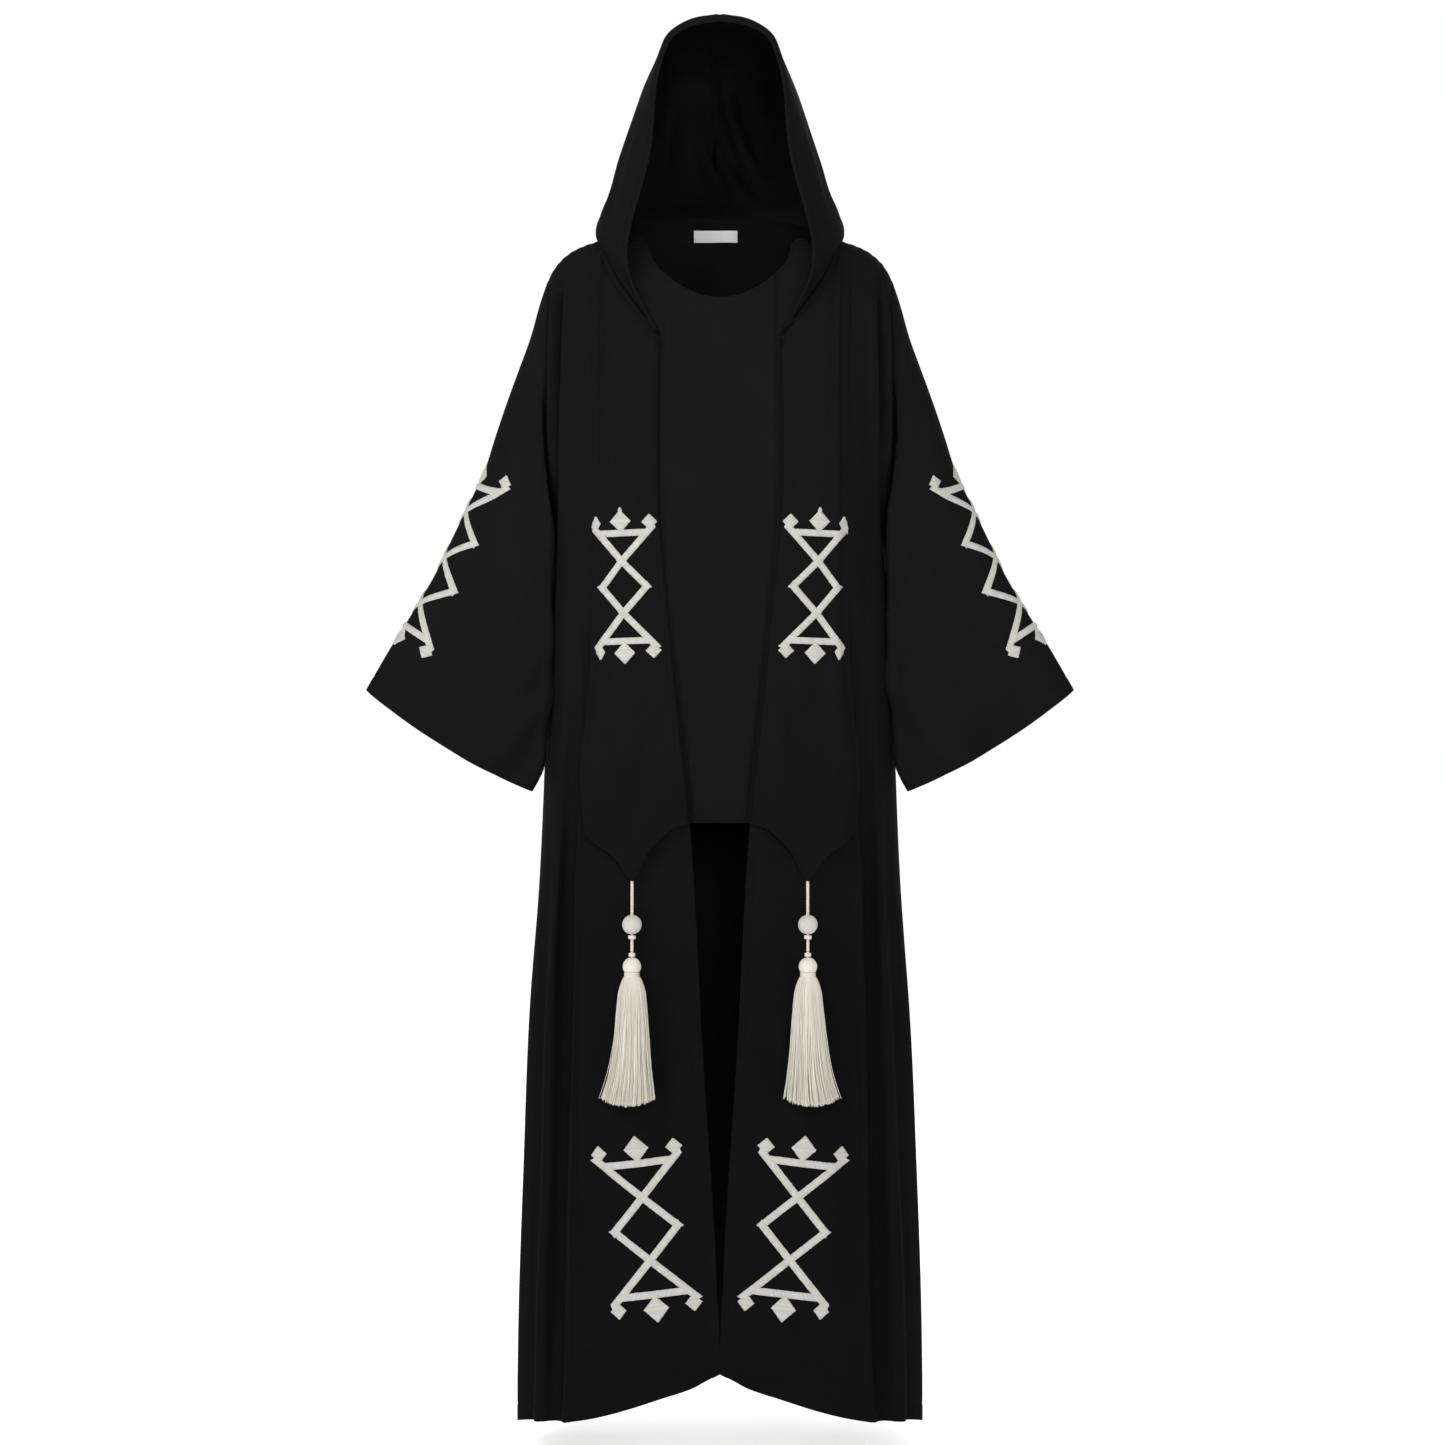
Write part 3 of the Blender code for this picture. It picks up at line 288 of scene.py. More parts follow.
# (fall below the neck, spread across, spread in depth) of the strands
SPREADS = [
    (0.000, 0.0070, 0.0070), (0.0040, 0.0100, 0.0092), (0.0127, 0.0138, 0.0115),
    (0.037, 0.0176, 0.0140), (0.0726, 0.0206, 0.0155), (0.1037, 0.0240, 0.0165),
    (0.1244, 0.0278, 0.0175), (0.1394, 0.0315, 0.0185), (0.1506, 0.0330, 0.0190),
]
STRANDS = 640
STRAND_RADIUS = 0.00055
STRAND_FLARE = 0.0042
STRAND_ARC = 0.055
STRAND_UNEVEN = 0.012
STRAND_WANDER = 0.0008
STRAND_STEPS = 14
STRAND_THICK = (0.8, 1.15)
STRAND_TAPER = 0.35
STRAND_LOOSE = 0.45

# Hem widths, stitches
SKIRT_HEM = 0.022
FRONT_HEM_WIDTH = 0.013
CUFF_HEM = 0.020
HOOD_HEM = 0.013
HOOD_ROLL = 0.0024
STOLE_HEM_WIDTH = 0.009
STOLE_FLAT = 0.0025
STOLE_FLAT_AT = 0.013
STOLE_FLAT_WIDTH = 0.011
STOLE_FLAT_END = (0.45, 0.62)
# (side, depth, width)
STOLE_SINKS = [("end", 0.0027, 0.020), ("start", 0.0015, 0.010), ("top", NECK_FOLD, 0.010)]
FRONT_HEMS = [("bottom", SKIRT_HEM), ("start", FRONT_HEM_WIDTH)]
STOLE_HEMS = [("bottom", STOLE_HEM_WIDTH), ("start", STOLE_HEM_WIDTH)]
HEM_CLOSE = 0.0044
HEM_CLOSE_DROPS = (1.22, 1.33)
HEM_CLOSE_WIDTH = 0.035
THIN = 0.0007
INNER_HEM_WIDTH = 0.010
STITCH_STEP = 0.0036
STITCH_LONG = 0.0027
STITCH_THICK = 0.00022
STITCH_SUNK = 0.0002
STITCH_RADIUS = 0.00028

# Slow waves of the long panels
SWAY_WAVES = 6
SWAY_ACROSS = (0.045, 0.110)
SWAY_DOWN = (0.500, 1.100)
SWAY_CALM = 0.05
SWAY_HEIGHT = 0.0010 / 3

# Colours. Painted shade on the crepe: full tone above one height, darker below another, as less
# light reaches the lower skirt
CREPE_GREY = 0.0048
# Painted shade: the fronts, hood and overlays take a darker copy of the same crepe
SHADED_CREPE_GREY = 0.0041
THREAD_GREY = 0.0051
DULL = 0.04
LIGHTEST = 0.9
PAINTED_SHADE_START_HEIGHT = -0.35
PAINTED_SHADE_FULL_HEIGHT = -1.00
PAINTED_SHADE_GAIN = 0.68
IVORY = (0.385, 0.381, 0.350)
TASSEL_IVORY = (0.55, 0.522, 0.447)
BEAD_IVORY = (0.425, 0.415, 0.370)
TAPE_WHITE = (0.77, 0.77, 0.765)

# Rows and columns of the base grids
UNDERARM_ROW = 89
PATCH_ROWS = 36
NECK_COLUMN = 32
SHOULDER_COLUMNS = 32
SHOULDER_STEPS = 30
SLEEVE_HALF = 40
SLEEVE_ROWS = 60
SHOULDER_COLUMN = 40
HOOD_ROWS = 61
STOLE_COLUMNS = 41
STOLE_ROWS = 50
INNER_COLUMNS = 33
INNER_ROWS = 40
INNER_TOP_ROWS = 30

# Spacing of the fine grids
GRID = 0.0085
BACK_GRID = 0.0060
HOOD_GRID = 0.0055
FINE_GRID = 0.0040
CREASE_STEPS = 24
CREASE_FADE = 0.35
POLE_LIMIT = 0.05
SIDE_SHARE = 0.45
RING_WEAVE = 0.45
CHART_WIDEST = 0.10
NAPE_DEPTH = 0.035
CAD_CLOTH = 0.0018
SEAM_PLACES = (0.0, 0.0006, 0.0014, 0.0026, 0.0045, 0.0075)
PLAIN_PLACES = (0.0,)

# Creases in millimetres: first place, bend and last place on the flat cloth, half width, height
# outward. Places are (x, z) on the body, the overlay and the back of the hood, (y, z) on its
# sides, and (distance round from the top fold, height over the figure's middle) on the sleeves.
CREASES = {
    "front_right": [
        (198, -70, 199, -170, 199, -320, 3.6, 4.5), (191, -30, 191, -180, 199, -420, 3.6, -21),
        (181, -60, 182, -190, 188, -360, 5, 4), (160, -560, 166, -1000, 178, -1560, 5, 5.6),
        (172, -540, 180, -1000, 195, -1560, 9.5, -15), (196, -560, 204, -900, 216, -1380, 8, -5),
        (140, -780, 143, -1050, 150, -1350, 12, -3.5), (60, -860, 72, -1060, 78, -1300, 14, -3),
        (160, -420, 163, -580, 160, -760, 10.5, -10),
    ],
    "front_left": [
        (-199, -60, -200, -150, -200, -310, 3.6, 4.8),
        (-192, -20, -192, -170, -200, -430, 3.6, -22), (-182, -50, -183, -180, -189, -370, 5, 4.2),
        (-163, -520, -172, -950, -182, -1560, 5, 5.8),
        (-175, -500, -184, -950, -197, -1560, 9.5, -15.5),
        (-199, -700, -208, -1000, -214, -1300, 8.5, -4.2),
        (-136, -850, -142, -1100, -146, -1400, 13, -3.6),
        (-66, -820, -74, -980, -70, -1200, 12, -3), (-160, -400, -164, -570, -158, -780, 10, -11),
    ],
    "sleeve_right": [
        (198, 60, 180, -120, 160, -420, 28, 12), (235, 120, 200, 20, 150, -200, 13, -5.3),
        (225, 30, 205, -50, 190, -240, 11, 3.8), (80, 330, 95, 220, 80, 100, 11, -3.4),
        (120, 180, 130, 40, 90, -160, 16, 2.7), (-200, 140, -180, 0, -130, -210, 14, -5.7),
        (-120, 260, -130, 120, -100, -60, 13, -3.8), (-230, 20, -210, -90, -200, -240, 11, 4.2),
    ],
    "sleeve_left": [
        (200, 40, 182, -130, 162, -420, 29, 12.5), (238, 90, 210, 10, 165, -210, 12, -5.7),
        (232, 0, 214, -70, 196, -230, 12, 3.8), (70, 310, 90, 190, 85, 60, 12, -3.4),
        (140, 140, 135, 0, 105, -190, 15, 2.9), (-210, 120, -175, -20, -145, -200, 15, -5.3),
        (-100, 280, -125, 150, -110, -20, 12, -4.2), (-235, 0, -220, -110, -190, -230, 10, 4.6),
    ],
    "hood_right": [
        (-50, 20, -30, 120, -20, 240, 42, 4.5), (-60, 160, -45, 90, -60, -10, 12, -2.6),
        (-20, 210, 10, 120, -5, 30, 15, -3.1), (20, 230, 50, 150, 40, 60, 12, 2.6),
        (60, 100, 20, 75, -30, 45, 12, -3.6),
    ],
    "hood_left": [
        (-50, 20, -30, 120, -20, 240, 42, 6), (-70, 140, -50, 70, -65, -20, 11, -2.9),
        (-30, 190, 0, 110, -10, 20, 16, -2.9), (10, 235, 40, 160, 50, 70, 13, 2.9),
        (65, 120, 30, 85, -20, 60, 11, -3.4),
    ],
    "nape_right": [
        (12, 235, 16, 160, 60, 70, 8.5, -11), (30, 215, 32, 165, 64, 85, 6, 8),
        (46, 230, 50, 150, 86, 90, 11, 7), (0, 150, 12, 100, 36, 35, 7, -8),
        (20, 120, 34, 90, 56, 50, 6, 6),
    ],
    "nape_left": [
        (-26, 230, -30, 140, -28, 50, 14, -6), (-52, 230, -62, 150, -64, 60, 12, 8.5),
    ],
    "stole_right": [
        (138, 0, 142, -120, 136, -300, 9, -2), (85, -120, 94, -220, 90, -360, 12, -1.4),
        (80, -500, 84, -600, 96, -720, 11, -2), (134, -500, 138, -600, 132, -700, 10, 1.7),
    ],
    "stole_left": [
        (-134, -10, -140, -140, -138, -330, 9, -2.1), (-90, -100, -98, -200, -88, -340, 12, -1.4),
        (-76, -490, -86, -600, -94, -710, 10, -2), (-138, -480, -134, -590, -138, -700, 11, 1.7),
    ],
    "back": [
        (-120, -30, -90, -250, -70, -520, 18, -5.8), (130, -20, 100, -230, 86, -480, 18, -5.4),
        (-30, -120, -20, -350, -34, -600, 16, 4.4), (40, -140, 26, -330, 44, -640, 15, 4.1),
        (-170, -240, -150, -420, -160, -760, 14, -5.1), (176, -260, 154, -440, 150, -720, 14, -5.4),
        (-60, -620, -90, -1000, -96, -1480, 15, -5.4), (12, -560, 20, -960, 10, -1480, 15, -6.1),
        (110, -640, 126, -1000, 132, -1480, 15, 5.1),
        (-150, -700, -170, -1040, -176, -1480, 13, 4.8),
        (190, -620, 200, -1000, 206, -1480, 11, -5.4), (10, 20, 0, -60, -16, -140, 18, -2.7),
    ],
}

# Studio and camera
FLOOR_RADIUS = 40.0
FLOOR_SIDES = 96
FLOOR_GLOW = 0.64
SIDE_SKY = 0.42
FLOOR_HEIGHT = -1.445
LIGHT_AIM = (0.0, 0.0, -0.35)
# (name, place, size, power)
LIGHTS = [
    ("key", (-2.1, -2.5, 2.1), (2.0, 2.0), 96.0),
    ("front", (0.4, -4.6, 0.3), (1.4, 1.4), 88.0),
    ("top", (0.0, -0.9, 2.4), (2.0, 2.0), 16.0),
    ("rear", (0.8, 3.8, 1.6), (2.4, 2.4), 34.0),
]
PIXEL = 0.0012
PHOTO_SIDE = 1445
CAMERA_PLACE = (0.003, -4.0, -0.579)
SENSOR = 36.0


def hermite(places, values, at):
    """Smooth values at some places between rows of values whose places rise."""
    places = np.asarray(places, dtype=float)
    values = np.asarray(values, dtype=float)
    at = np.clip(at, places[0], places[-1])
    slopes = np.gradient(values, places, axis=0)
    row = np.clip(np.searchsorted(places, at, side="right") - 1, 0, len(places) - 2)
    span = places[row + 1] - places[row]
    share = (at - places[row]) / span
    if values.ndim > 1:
        span = span[..., None]
        share = share[..., None]
    rest = 1 - share
    return (values[row] * (1 + 2 * share) * rest * rest
            + values[row + 1] * (1 + 2 * rest) * share * share
            + slopes[row] * span * share * rest * rest
            - slopes[row + 1] * span * rest * share * share)


def along(table, place):
    """Smooth value at a place, from rows of (place, value)."""
    return hermite(*zip(*table), place)


def lengths_along(points):
    """Distance from the first point to each point of a line."""
    steps = np.linalg.norm(np.diff(points, axis=0), axis=-1)
    return np.concatenate(([0.0], np.cumsum(steps)))


def through(points, share):
    """Points at shares of the length of a smooth curve through the points."""
    points = np.array(points, dtype=float)
    places = lengths_along(points)
    return hermite(places / places[-1], points, share)


def ramp(value, start, full):
    """Smooth step from 0 at the start to 1 where it is full."""
    share = np.clip((value - start) / (full - start), 0.0, 1.0)
    return share * share * (3 - 2 * share)


def bell(distance, width):
    """Smooth bump of height 1 at distance 0."""
    return np.exp(-(distance / width) ** 2)


def unit(vectors):
    long = np.linalg.norm(vectors, axis=-1, keepdims=True)
    return vectors / np.maximum(long, 1e-12)


def coordinates(*parts):
    """Points from arrays of their coordinates."""
    return np.stack(np.broadcast_arrays(*parts), axis=-1)


def reach(across, height, depth):
    """Distance of the cloth from the shoulder plane, above the underarm level."""
    rise = np.clip((height + UNDERARM) / (UNDERARM - SHOULDER_TIP[1]), 0.0, 1.0)
    at_armhole = ARM_DEPTH * np.sqrt(rise * (2 - rise))
    near = (1 - (at_armhole / depth) ** FULLNESS) ** (1 / FULLNESS)
    near = near * np.clip(np.abs(across) / along(WIDTHS, -height), 0.0, 1.0)
    up = (height + UNDERARM) / (along(SHOULDERS, np.abs(across)) + UNDERARM)
    side = (1 - near ** FULLNESS) ** (1 / FULLNESS)
    return depth * side * (1 - np.clip(up, 0.0, 1.0) ** SHOULDER_ROUND) ** (1 / SHOULDER_ROUND)


def front_reach(across, drop):
    """Distance of the unfolded front from the shoulder plane, at any drop."""
    depth = along(FRONT_DEPTHS, drop)
    share = np.clip(np.abs(across) / along(WIDTHS, drop), 0.0, 1.0)
    below = depth * (1 - share ** FULLNESS) ** (1 / FULLNESS)
    return np.where(drop < UNDERARM, reach(across, -drop, depth), below)


def on_front(across, drop):
    """Points on the unfolded front."""
    return coordinates(across, -front_reach(across, drop), -drop)


def blended_patch(bottom, top, inner, outer, rises, shares):
    """Points (x, z) of the patch between four edges, at given rises and shares across."""
    rise = rises[:, None, None]
    share = shares[None, :, None]
    between = (1 - rise) * bottom + rise * top
    between = between + (1 - share) * inner[:, None] + share * outer[:, None]
    low = (1 - share) * bottom[0] + share * bottom[-1]
    high = (1 - share) * top[0] + share * top[-1]
    return between - (1 - rise) * low - rise * high


def level_rises(count):
    """Shares of the height above the underarm, closer together at both ends."""
    return (1 - np.cos(np.pi * np.linspace(0, 1, count + 1))) / 2


def edge_up(table, rises, top):
    """Points (x, z) of an edge at shares of the way from the underarm level up to its top."""
    height = -UNDERARM + rises * (top + UNDERARM)
    return coordinates(along(table, -height), height)


def topped(lower, top, start, end, rises, shares):
    """Rows on the front, and above them the patch between their last row and three edges."""
    patch = blended_patch(lower[-1][:, (0, 2)], top, start, end, rises, shares)[1:]
    return np.concatenate((lower, on_front(patch[..., 0], -patch[..., 1])))


SIDE_CELLS = {"bottom": np.s_[0], "top": np.s_[-1], "start": np.s_[:, 0], "end": np.s_[:, -1]}


class Sheet:
    """A grid of outer points, rows up and columns across, with normals and cloth thickness."""

    def __init__(self, points, outward, ring=False):
        self.points = np.array(points, dtype=float)
        self.outward = outward
        self.ring = ring
        self.thickness = np.full(self.points.shape[:2], CLOTH)
        self.seams = {}
        self.blunt = None
        self.find_normals()

    def find_normals(self):
        """Outward ways of the surface, but for those that its seams share with other sheets."""
        up = np.gradient(self.points, axis=0)
        if self.ring:
            across = np.roll(self.points, -1, axis=1) - np.roll(self.points, 1, axis=1)
        else:
            across = np.gradient(self.points, axis=1)
        normals = np.cross(unit(across), unit(up)) * self.outward
        self.normals = unit(normals)
        if np.linalg.norm(normals[-1, -1]) < POLE_LIMIT:
            self.normals[-1, -1] = self.normals[-3, -3]
        if self.blunt is not None:
            near = 1 - ramp(self.from_corner(), *BLUNT_REACH)[..., None]
            self.normals = unit(self.normals * (1 - near) + self.blunt * near)
        for side, ways in self.seams.items():
            self.normals[SIDE_CELLS[side]] = ways

    def meet(self, side, points, ways):
        """Share the outward ways of a seam, given at points along it, at one side."""
        cells = SIDE_CELLS[side]
        nearest = np.linalg.norm(self.points[cells][:, None] - points, axis=2).argmin(axis=1)
        self.seams[side] = ways[nearest]
        self.find_normals()

    def moved(self, heights):
        """Move every point out by its height."""
        self.points = self.points + self.normals * heights[..., None]
        self.find_normals()

    def sided(self, side):
        """A copy for the right (1), or the mirror image for the left (-1)."""
        flip = (side, 1, 1)
        made = Sheet(self.points * flip, self.outward * side, self.ring)
        made.seams = {name: ways * flip for name, ways in self.seams.items()}
        made.blunt = None if self.blunt is None else self.blunt * flip
        made.find_normals()
        return made

    def from_corner(self):
        """Straight distance from the corner between top and end to each point."""
        return np.linalg.norm(self.points - self.points[-1, -1], axis=2)

    def distance(self, side):
        """Length along the cloth from one of its sides to each point."""
        axis = 0 if side in ("bottom", "top") else 1
        points = self.points if side in ("bottom", "start") else np.flip(self.points, axis)
        steps = np.linalg.norm(np.diff(points, axis=axis), axis=2)
        first = np.zeros_like(np.take(steps, [0], axis=axis))
        lengths = np.concatenate((first, np.cumsum(steps, axis=axis)), axis=axis)
        return lengths if side in ("bottom", "start") else np.flip(lengths, axis)

    def inner(self):
        """Points of the inner face."""
        return self.points - self.normals * self.thickness[..., None]

    def quads(self):
        """Corners of each cell, wound to face outward."""
        rows, columns = self.points.shape[:2]
        place = np.arange(rows * columns).reshape(rows, columns)
        if self.ring:
            place = np.concatenate((place, place[:, :1]), axis=1)
        corners = (place[:-1, :-1], place[:-1, 1:], place[1:, 1:], place[1:, :-1])
        corners = coordinates(*corners).reshape(-1, 4)
        return corners if self.outward > 0 else corners[:, ::-1]

    def area(self):
        a, b, c, d = (self.points.reshape(-1, 3)[self.quads()[:, k]] for k in range(4))
        return float(np.linalg.norm(np.cross(c - a, d - b), axis=1).sum() / 2)


def respaced(points, axis, near=PLAIN_PLACES, far=PLAIN_PLACES, step=GRID, corner=None):
    """The same surface, its points evenly spaced along an axis but for those near its sides."""
    lines = points if axis == 1 else points.transpose(1, 0, 2)
    if corner is not None:
        first = respaced(lines[:, :corner + 1], 1, near, PLAIN_PLACES, step)
        last = respaced(lines[:, corner:], 1, PLAIN_PLACES, far, step)
        made = np.concatenate((first, last[:, 1:]), axis=1)
        return made if axis == 1 else made.transpose(1, 0, 2)
    longest = max(lengths_along(line)[-1] for line in lines)
    count = max(int(longest / step), 4)
    near, far = np.array(near), np.array(far)
    made = []
    for line in lines:
        places = lengths_along(line)
        whole = places[-1]
        keep = np.concatenate(([True], np.diff(places) > 1e-9))
        if keep.sum() < 3:
            made.append(np.repeat(line[:1], count + len(near) + len(far) - 2, axis=0))
            continue
        fit = min(1.0, SIDE_SHARE * whole / max(near[-1], far[-1], 1e-9))
        middle = np.linspace(fit * near[-1], whole - fit * far[-1], count)
        at = np.concatenate((fit * near[:-1], middle, (whole - fit * far[:-1])[::-1]))
        made.append(hermite(places[keep], line[keep], at))
    made = np.array(made)
    return made if axis == 1 else made.transpose(1, 0, 2)


def body_base(depths, hem_line, neck, edge, facing):
    """Right half of the front or back, hem to neck and shoulder, inner edge to side, folded."""
    shares = np.linspace(0, 1, NECK_COLUMN + SHOULDER_COLUMNS + 1)
    hem_drop = along(hem_line, shares)
    drop = hem_drop + (UNDERARM - hem_drop) * np.linspace(0, 1, UNDERARM_ROW + 1)[:, None]
    width = along(WIDTHS, drop)
    turn = np.arccos((along(edge, drop) / width) ** (FULLNESS / 2)) * (1 - shares)
    across = width * np.maximum(np.cos(turn), 0.0) ** (2 / FULLNESS)
    deep = along(depths, drop) * np.sin(turn) ** (2 / FULLNESS)
    skirt = coordinates(across, facing * deep, -drop)

    rises = level_rises(PATCH_ROWS)
    top = through(neck, np.linspace(0, 1, NECK_COLUMN + 1)) * (1, -1)
    turn = np.pi / 2 * np.linspace(0, 1, SHOULDER_COLUMNS + 1)[1:]
    across = top[-1, 0] + (SHOULDER_TIP[0] - top[-1, 0]) * np.sin(turn)
    top = np.concatenate((top, coordinates(across, along(SHOULDERS, across))))
    inner = edge_up(edge, rises, top[0, 1])
    outer = edge_up(WIDTHS, rises, -SHOULDER_TIP[1])
    patch = blended_patch(skirt[-1][:, (0, 2)], top, inner, outer, rises, shares)[1:]
    across, height = patch[..., 0], patch[..., 1]
    deep = reach(across, height, along(depths, -height))
    points = np.concatenate((skirt, coordinates(across, facing * deep, height)))
    points[-1, NECK_COLUMN:, 1] = 0.0

    sheet = Sheet(points, -facing)
    around = shares if facing < 0 else 2 - shares
    drop = -points[..., 2]
    moved = 0.0
    for at_top, at_hem, start, full, half, high in FOLDS:
        middle = at_top + (at_hem - at_top) * ramp(drop, start, FOLDS_END)
        moved = moved + high * ramp(drop, start, full) * bell(around - middle, half)
    sheet.moved(moved)
    sheet.points[:UNDERARM_ROW + 1, -1, 1] = 0.0
    sheet.points[-1, NECK_COLUMN:, 1] = 0.0
    return sheet.points


def armhole(facing, depths, rises):
    """Points of the armhole at shares of the height from the underarm to the shoulder tip."""
    across, height = edge_up(WIDTHS, rises, -SHOULDER_TIP[1]).T
    return coordinates(across, facing * reach(across, height, along(depths, -height)), height)


def sleeve_base():
    """Right sleeve from the armhole to the cuff, round from its top fold by the front."""
    turn = np.pi * np.arange(2 * SLEEVE_HALF) / SLEEVE_HALF
    down = np.minimum(turn, 2 * np.pi - turn) / np.pi
    rise = (1 + np.cos(turn)) / 2
    hole = np.where((turn <= np.pi)[:, None], armhole(-1, FRONT_DEPTHS, rise),
                    armhole(1, BACK_DEPTHS, rise))
    hole[[0, SLEEVE_HALF], 1] = 0.0
    share = np.linspace(0, 1, SLEEVE_ROWS)
    high = through(SLEEVE_TOP, share)
    low = through(SLEEVE_UNDER, share)
    chord = unit(high - low)[:, None]
    flat = low[:, None] + (high - low)[:, None] * rise[:, None]
    way = np.gradient(high, axis=0)
    way = unit(coordinates(way[:, 0], 0.0, -way[:, 1]))[:, None]
    share = share[:, None]
    sag = CUFF_SAG * 4 * rise * (1 - rise) * share ** 2
    deep = -along(SLEEVE_DEPTHS, share) * np.sin(turn)
    deep = deep - UNDER_FORWARD * ramp(share, 0.0, UNDER_REACH) * bell(down - 1, UNDER_WIDTH)
    points = coordinates(
        flat[..., 0] - chord[..., 1] * sag, deep, -flat[..., 1] - chord[..., 0] * sag)
    lean = (hole - points[0]) * (1 - ramp(share, 0.0, HOLE_REACH))[..., None]
    behind = CUFF_BEHIND * ramp(share, 0.5, 1.0) * np.maximum(-np.sin(turn), 0.0)
    sheet = Sheet(points + way * behind[..., None] + lean, 1, ring=True)
    moved = 0.0
    for at, full, width, height in SLEEVE_FOLDS:
        moved = moved + height * ramp(share, SLEEVE_FOLDS_START, full) * bell(down - at, width)
    sheet.moved(moved)
    return sheet.points


def hood_base():
    """Right half of the hood: arches from the neck seam up to the seam over the crown."""
    columns = []
    for at in np.linspace(0, 1, 2 * SHOULDER_COLUMN + 1):
        before = at < 0.5
        neck, depths = (FRONT_NECK, FRONT_DEPTHS) if before else (BACK_NECK, BACK_DEPTHS)
        across, drop = through(neck, 2 * at if before else 2 - 2 * at)
        deep = 0.0 if math.isclose(at, 0.5) else reach(across, -drop, along(depths, drop))
        base = (across, -deep if before else deep, -drop)
        arch = hermite(HOOD_ARCHES[:, 0], HOOD_ARCHES[:, 1:], at)
        brow, crown = arch[6:9], np.array((0.0, *arch[9:]))
        cap = [brow + (crown - brow) * (1 - math.cos(turn), 0.5 * turn, math.sin(turn))
               for turn in (math.pi / 6, math.pi / 3)]
        line = [base, arch[:3], arch[3:6], brow, *cap, crown]
        columns.append(through(line, np.linspace(0, 1, HOOD_ROWS)))
    points = np.array(columns).transpose(1, 0, 2)
    points[:, -1, 0] = 0.0
    points[-1, :, 0] = 0.0
    return points


def stole_base():
    """Right overlay panel, from the neck and shoulder down to its pointed hem."""
    shares = np.union1d(np.linspace(0, 1, STOLE_COLUMNS), STOLE_TIP)
    rows = np.linspace(0, ROWS_BELOW, STOLE_ROWS)
    hem_drop = along(STOLE_HEM, shares)
    drop = hem_drop + (UNDERARM - hem_drop) * rows[:, None] / ROWS_BELOW
    inner = along(FRONT_EDGES, np.minimum(drop, STOLE_HEM[0][1]))
    lower = on_front(inner + (along(STOLE_EDGES, drop) - inner) * shares, drop)

    rises = level_rises(PATCH_ROWS)
    top = through(STOLE_NECK, shares) * (1, -1)
    points = topped(lower, top, edge_up(FRONT_EDGES, rises, top[0, 1]),
                    edge_up(STOLE_EDGES, rises, top[-1, 1]), rises, shares)

    above = ROWS_BELOW + np.linspace(0, ROWS_ABOVE, len(rises))[1:]
    row = np.concatenate((rows, above))[:, None]
    near = ramp(shares, 0, STOLE_NEAR) * ramp(ROWS_BELOW + ROWS_ABOVE - row, 0, STOLE_NECK_ROWS)
    roll = STOLE_ROLL * bell(shares - STOLE_ROLL_AT, STOLE_ROLL_WIDTH)
    hang = STOLE_HANG * (1 - ramp(row, 0, ROWS_BELOW)) ** 2
    sheet = Sheet(points, 1)
    sheet.moved(CAD_CLOTH + EDGE_LIFT + (STOLE_LIFT - EDGE_LIFT + roll) * near + hang)
    tip = shares == STOLE_TIP
    return sheet.points, sheet.points[0, tip][0], sheet.normals[0, tip][0]


def inner_base():
    """Inner front panel, the whole width, behind the front edges."""
    shares = np.linspace(0, 1, INNER_COLUMNS)
    rows = np.linspace(0, 1, INNER_ROWS)[:, None]
    drop = INNER_HEM_DROP + (UNDERARM - INNER_HEM_DROP) * rows + 0 * shares
    lower = on_front((INNER_HEM_HALF + (INNER_MID_HALF - INNER_HEM_HALF) * rows) * shares, drop)
    rises = np.sin(np.pi / 2 * np.linspace(0, 1, INNER_TOP_ROWS))
    count = len(INNER_NECK) - 1
    top = hermite(np.arange(count + 1) / count, np.array(INNER_NECK) * (1, -1), shares)
    bottom = lower[-1][:, (0, 2)]
    start, end = (bottom[k] + (top[k] - bottom[k]) * rises[:, None] for k in (0, -1))
    right = topped(lower, top, start, end, rises, shares)
    sheet = Sheet(np.concatenate((right[:, :0:-1] * (-1, 1, 1), right), axis=1), 1)
    sheet.moved(np.full(sheet.points.shape[:2], -CAD_CLOTH - INNER_LIFT))
    return sheet.points


def hem_places(width):
    """Places in from a hemmed side, close together at its edge and at its stitch line."""
    return (0.0, 0.0004, 0.0011, 0.0030, width - 0.0050, width - 0.0028, width - STITCH_IN,
            width - 0.0004, width + 0.0012, width + 0.0040)


def hem(sheet, side, width, roll=HEM_ROLL):
    """Turn a hem in: thicker cloth, a soft roll, a rounded edge and a dip where it is stitched."""
    away = sheet.distance(side)
    band = np.clip(away / (width - STITCH_IN), 0, 1)
    sheet.moved(roll * np.sin(np.pi * band))
    sheet.thickness = sheet.thickness + HEM_EXTRA * (1 - ramp(away, width - 0.001, width + 0.001))
    rounding = EDGE_ROUND / 2 * (1 - np.sqrt(np.clip(away / EDGE_ROUND, 0, 1)))
    sheet.moved(-STITCH_DIP * bell(away - width + STITCH_IN, 0.0010) - rounding)
    sheet.thickness = sheet.thickness - 2 * rounding


def sink(sheet, side, depth, width):
    """Thin a side of the cloth and let its outer face down by a depth, over a width."""
    near = 1 - ramp(sheet.distance(side), 0.0, width)
    sheet.moved(-depth * near)
    sheet.thickness = np.minimum(sheet.thickness, CLOTH + (THIN - CLOTH) * near)


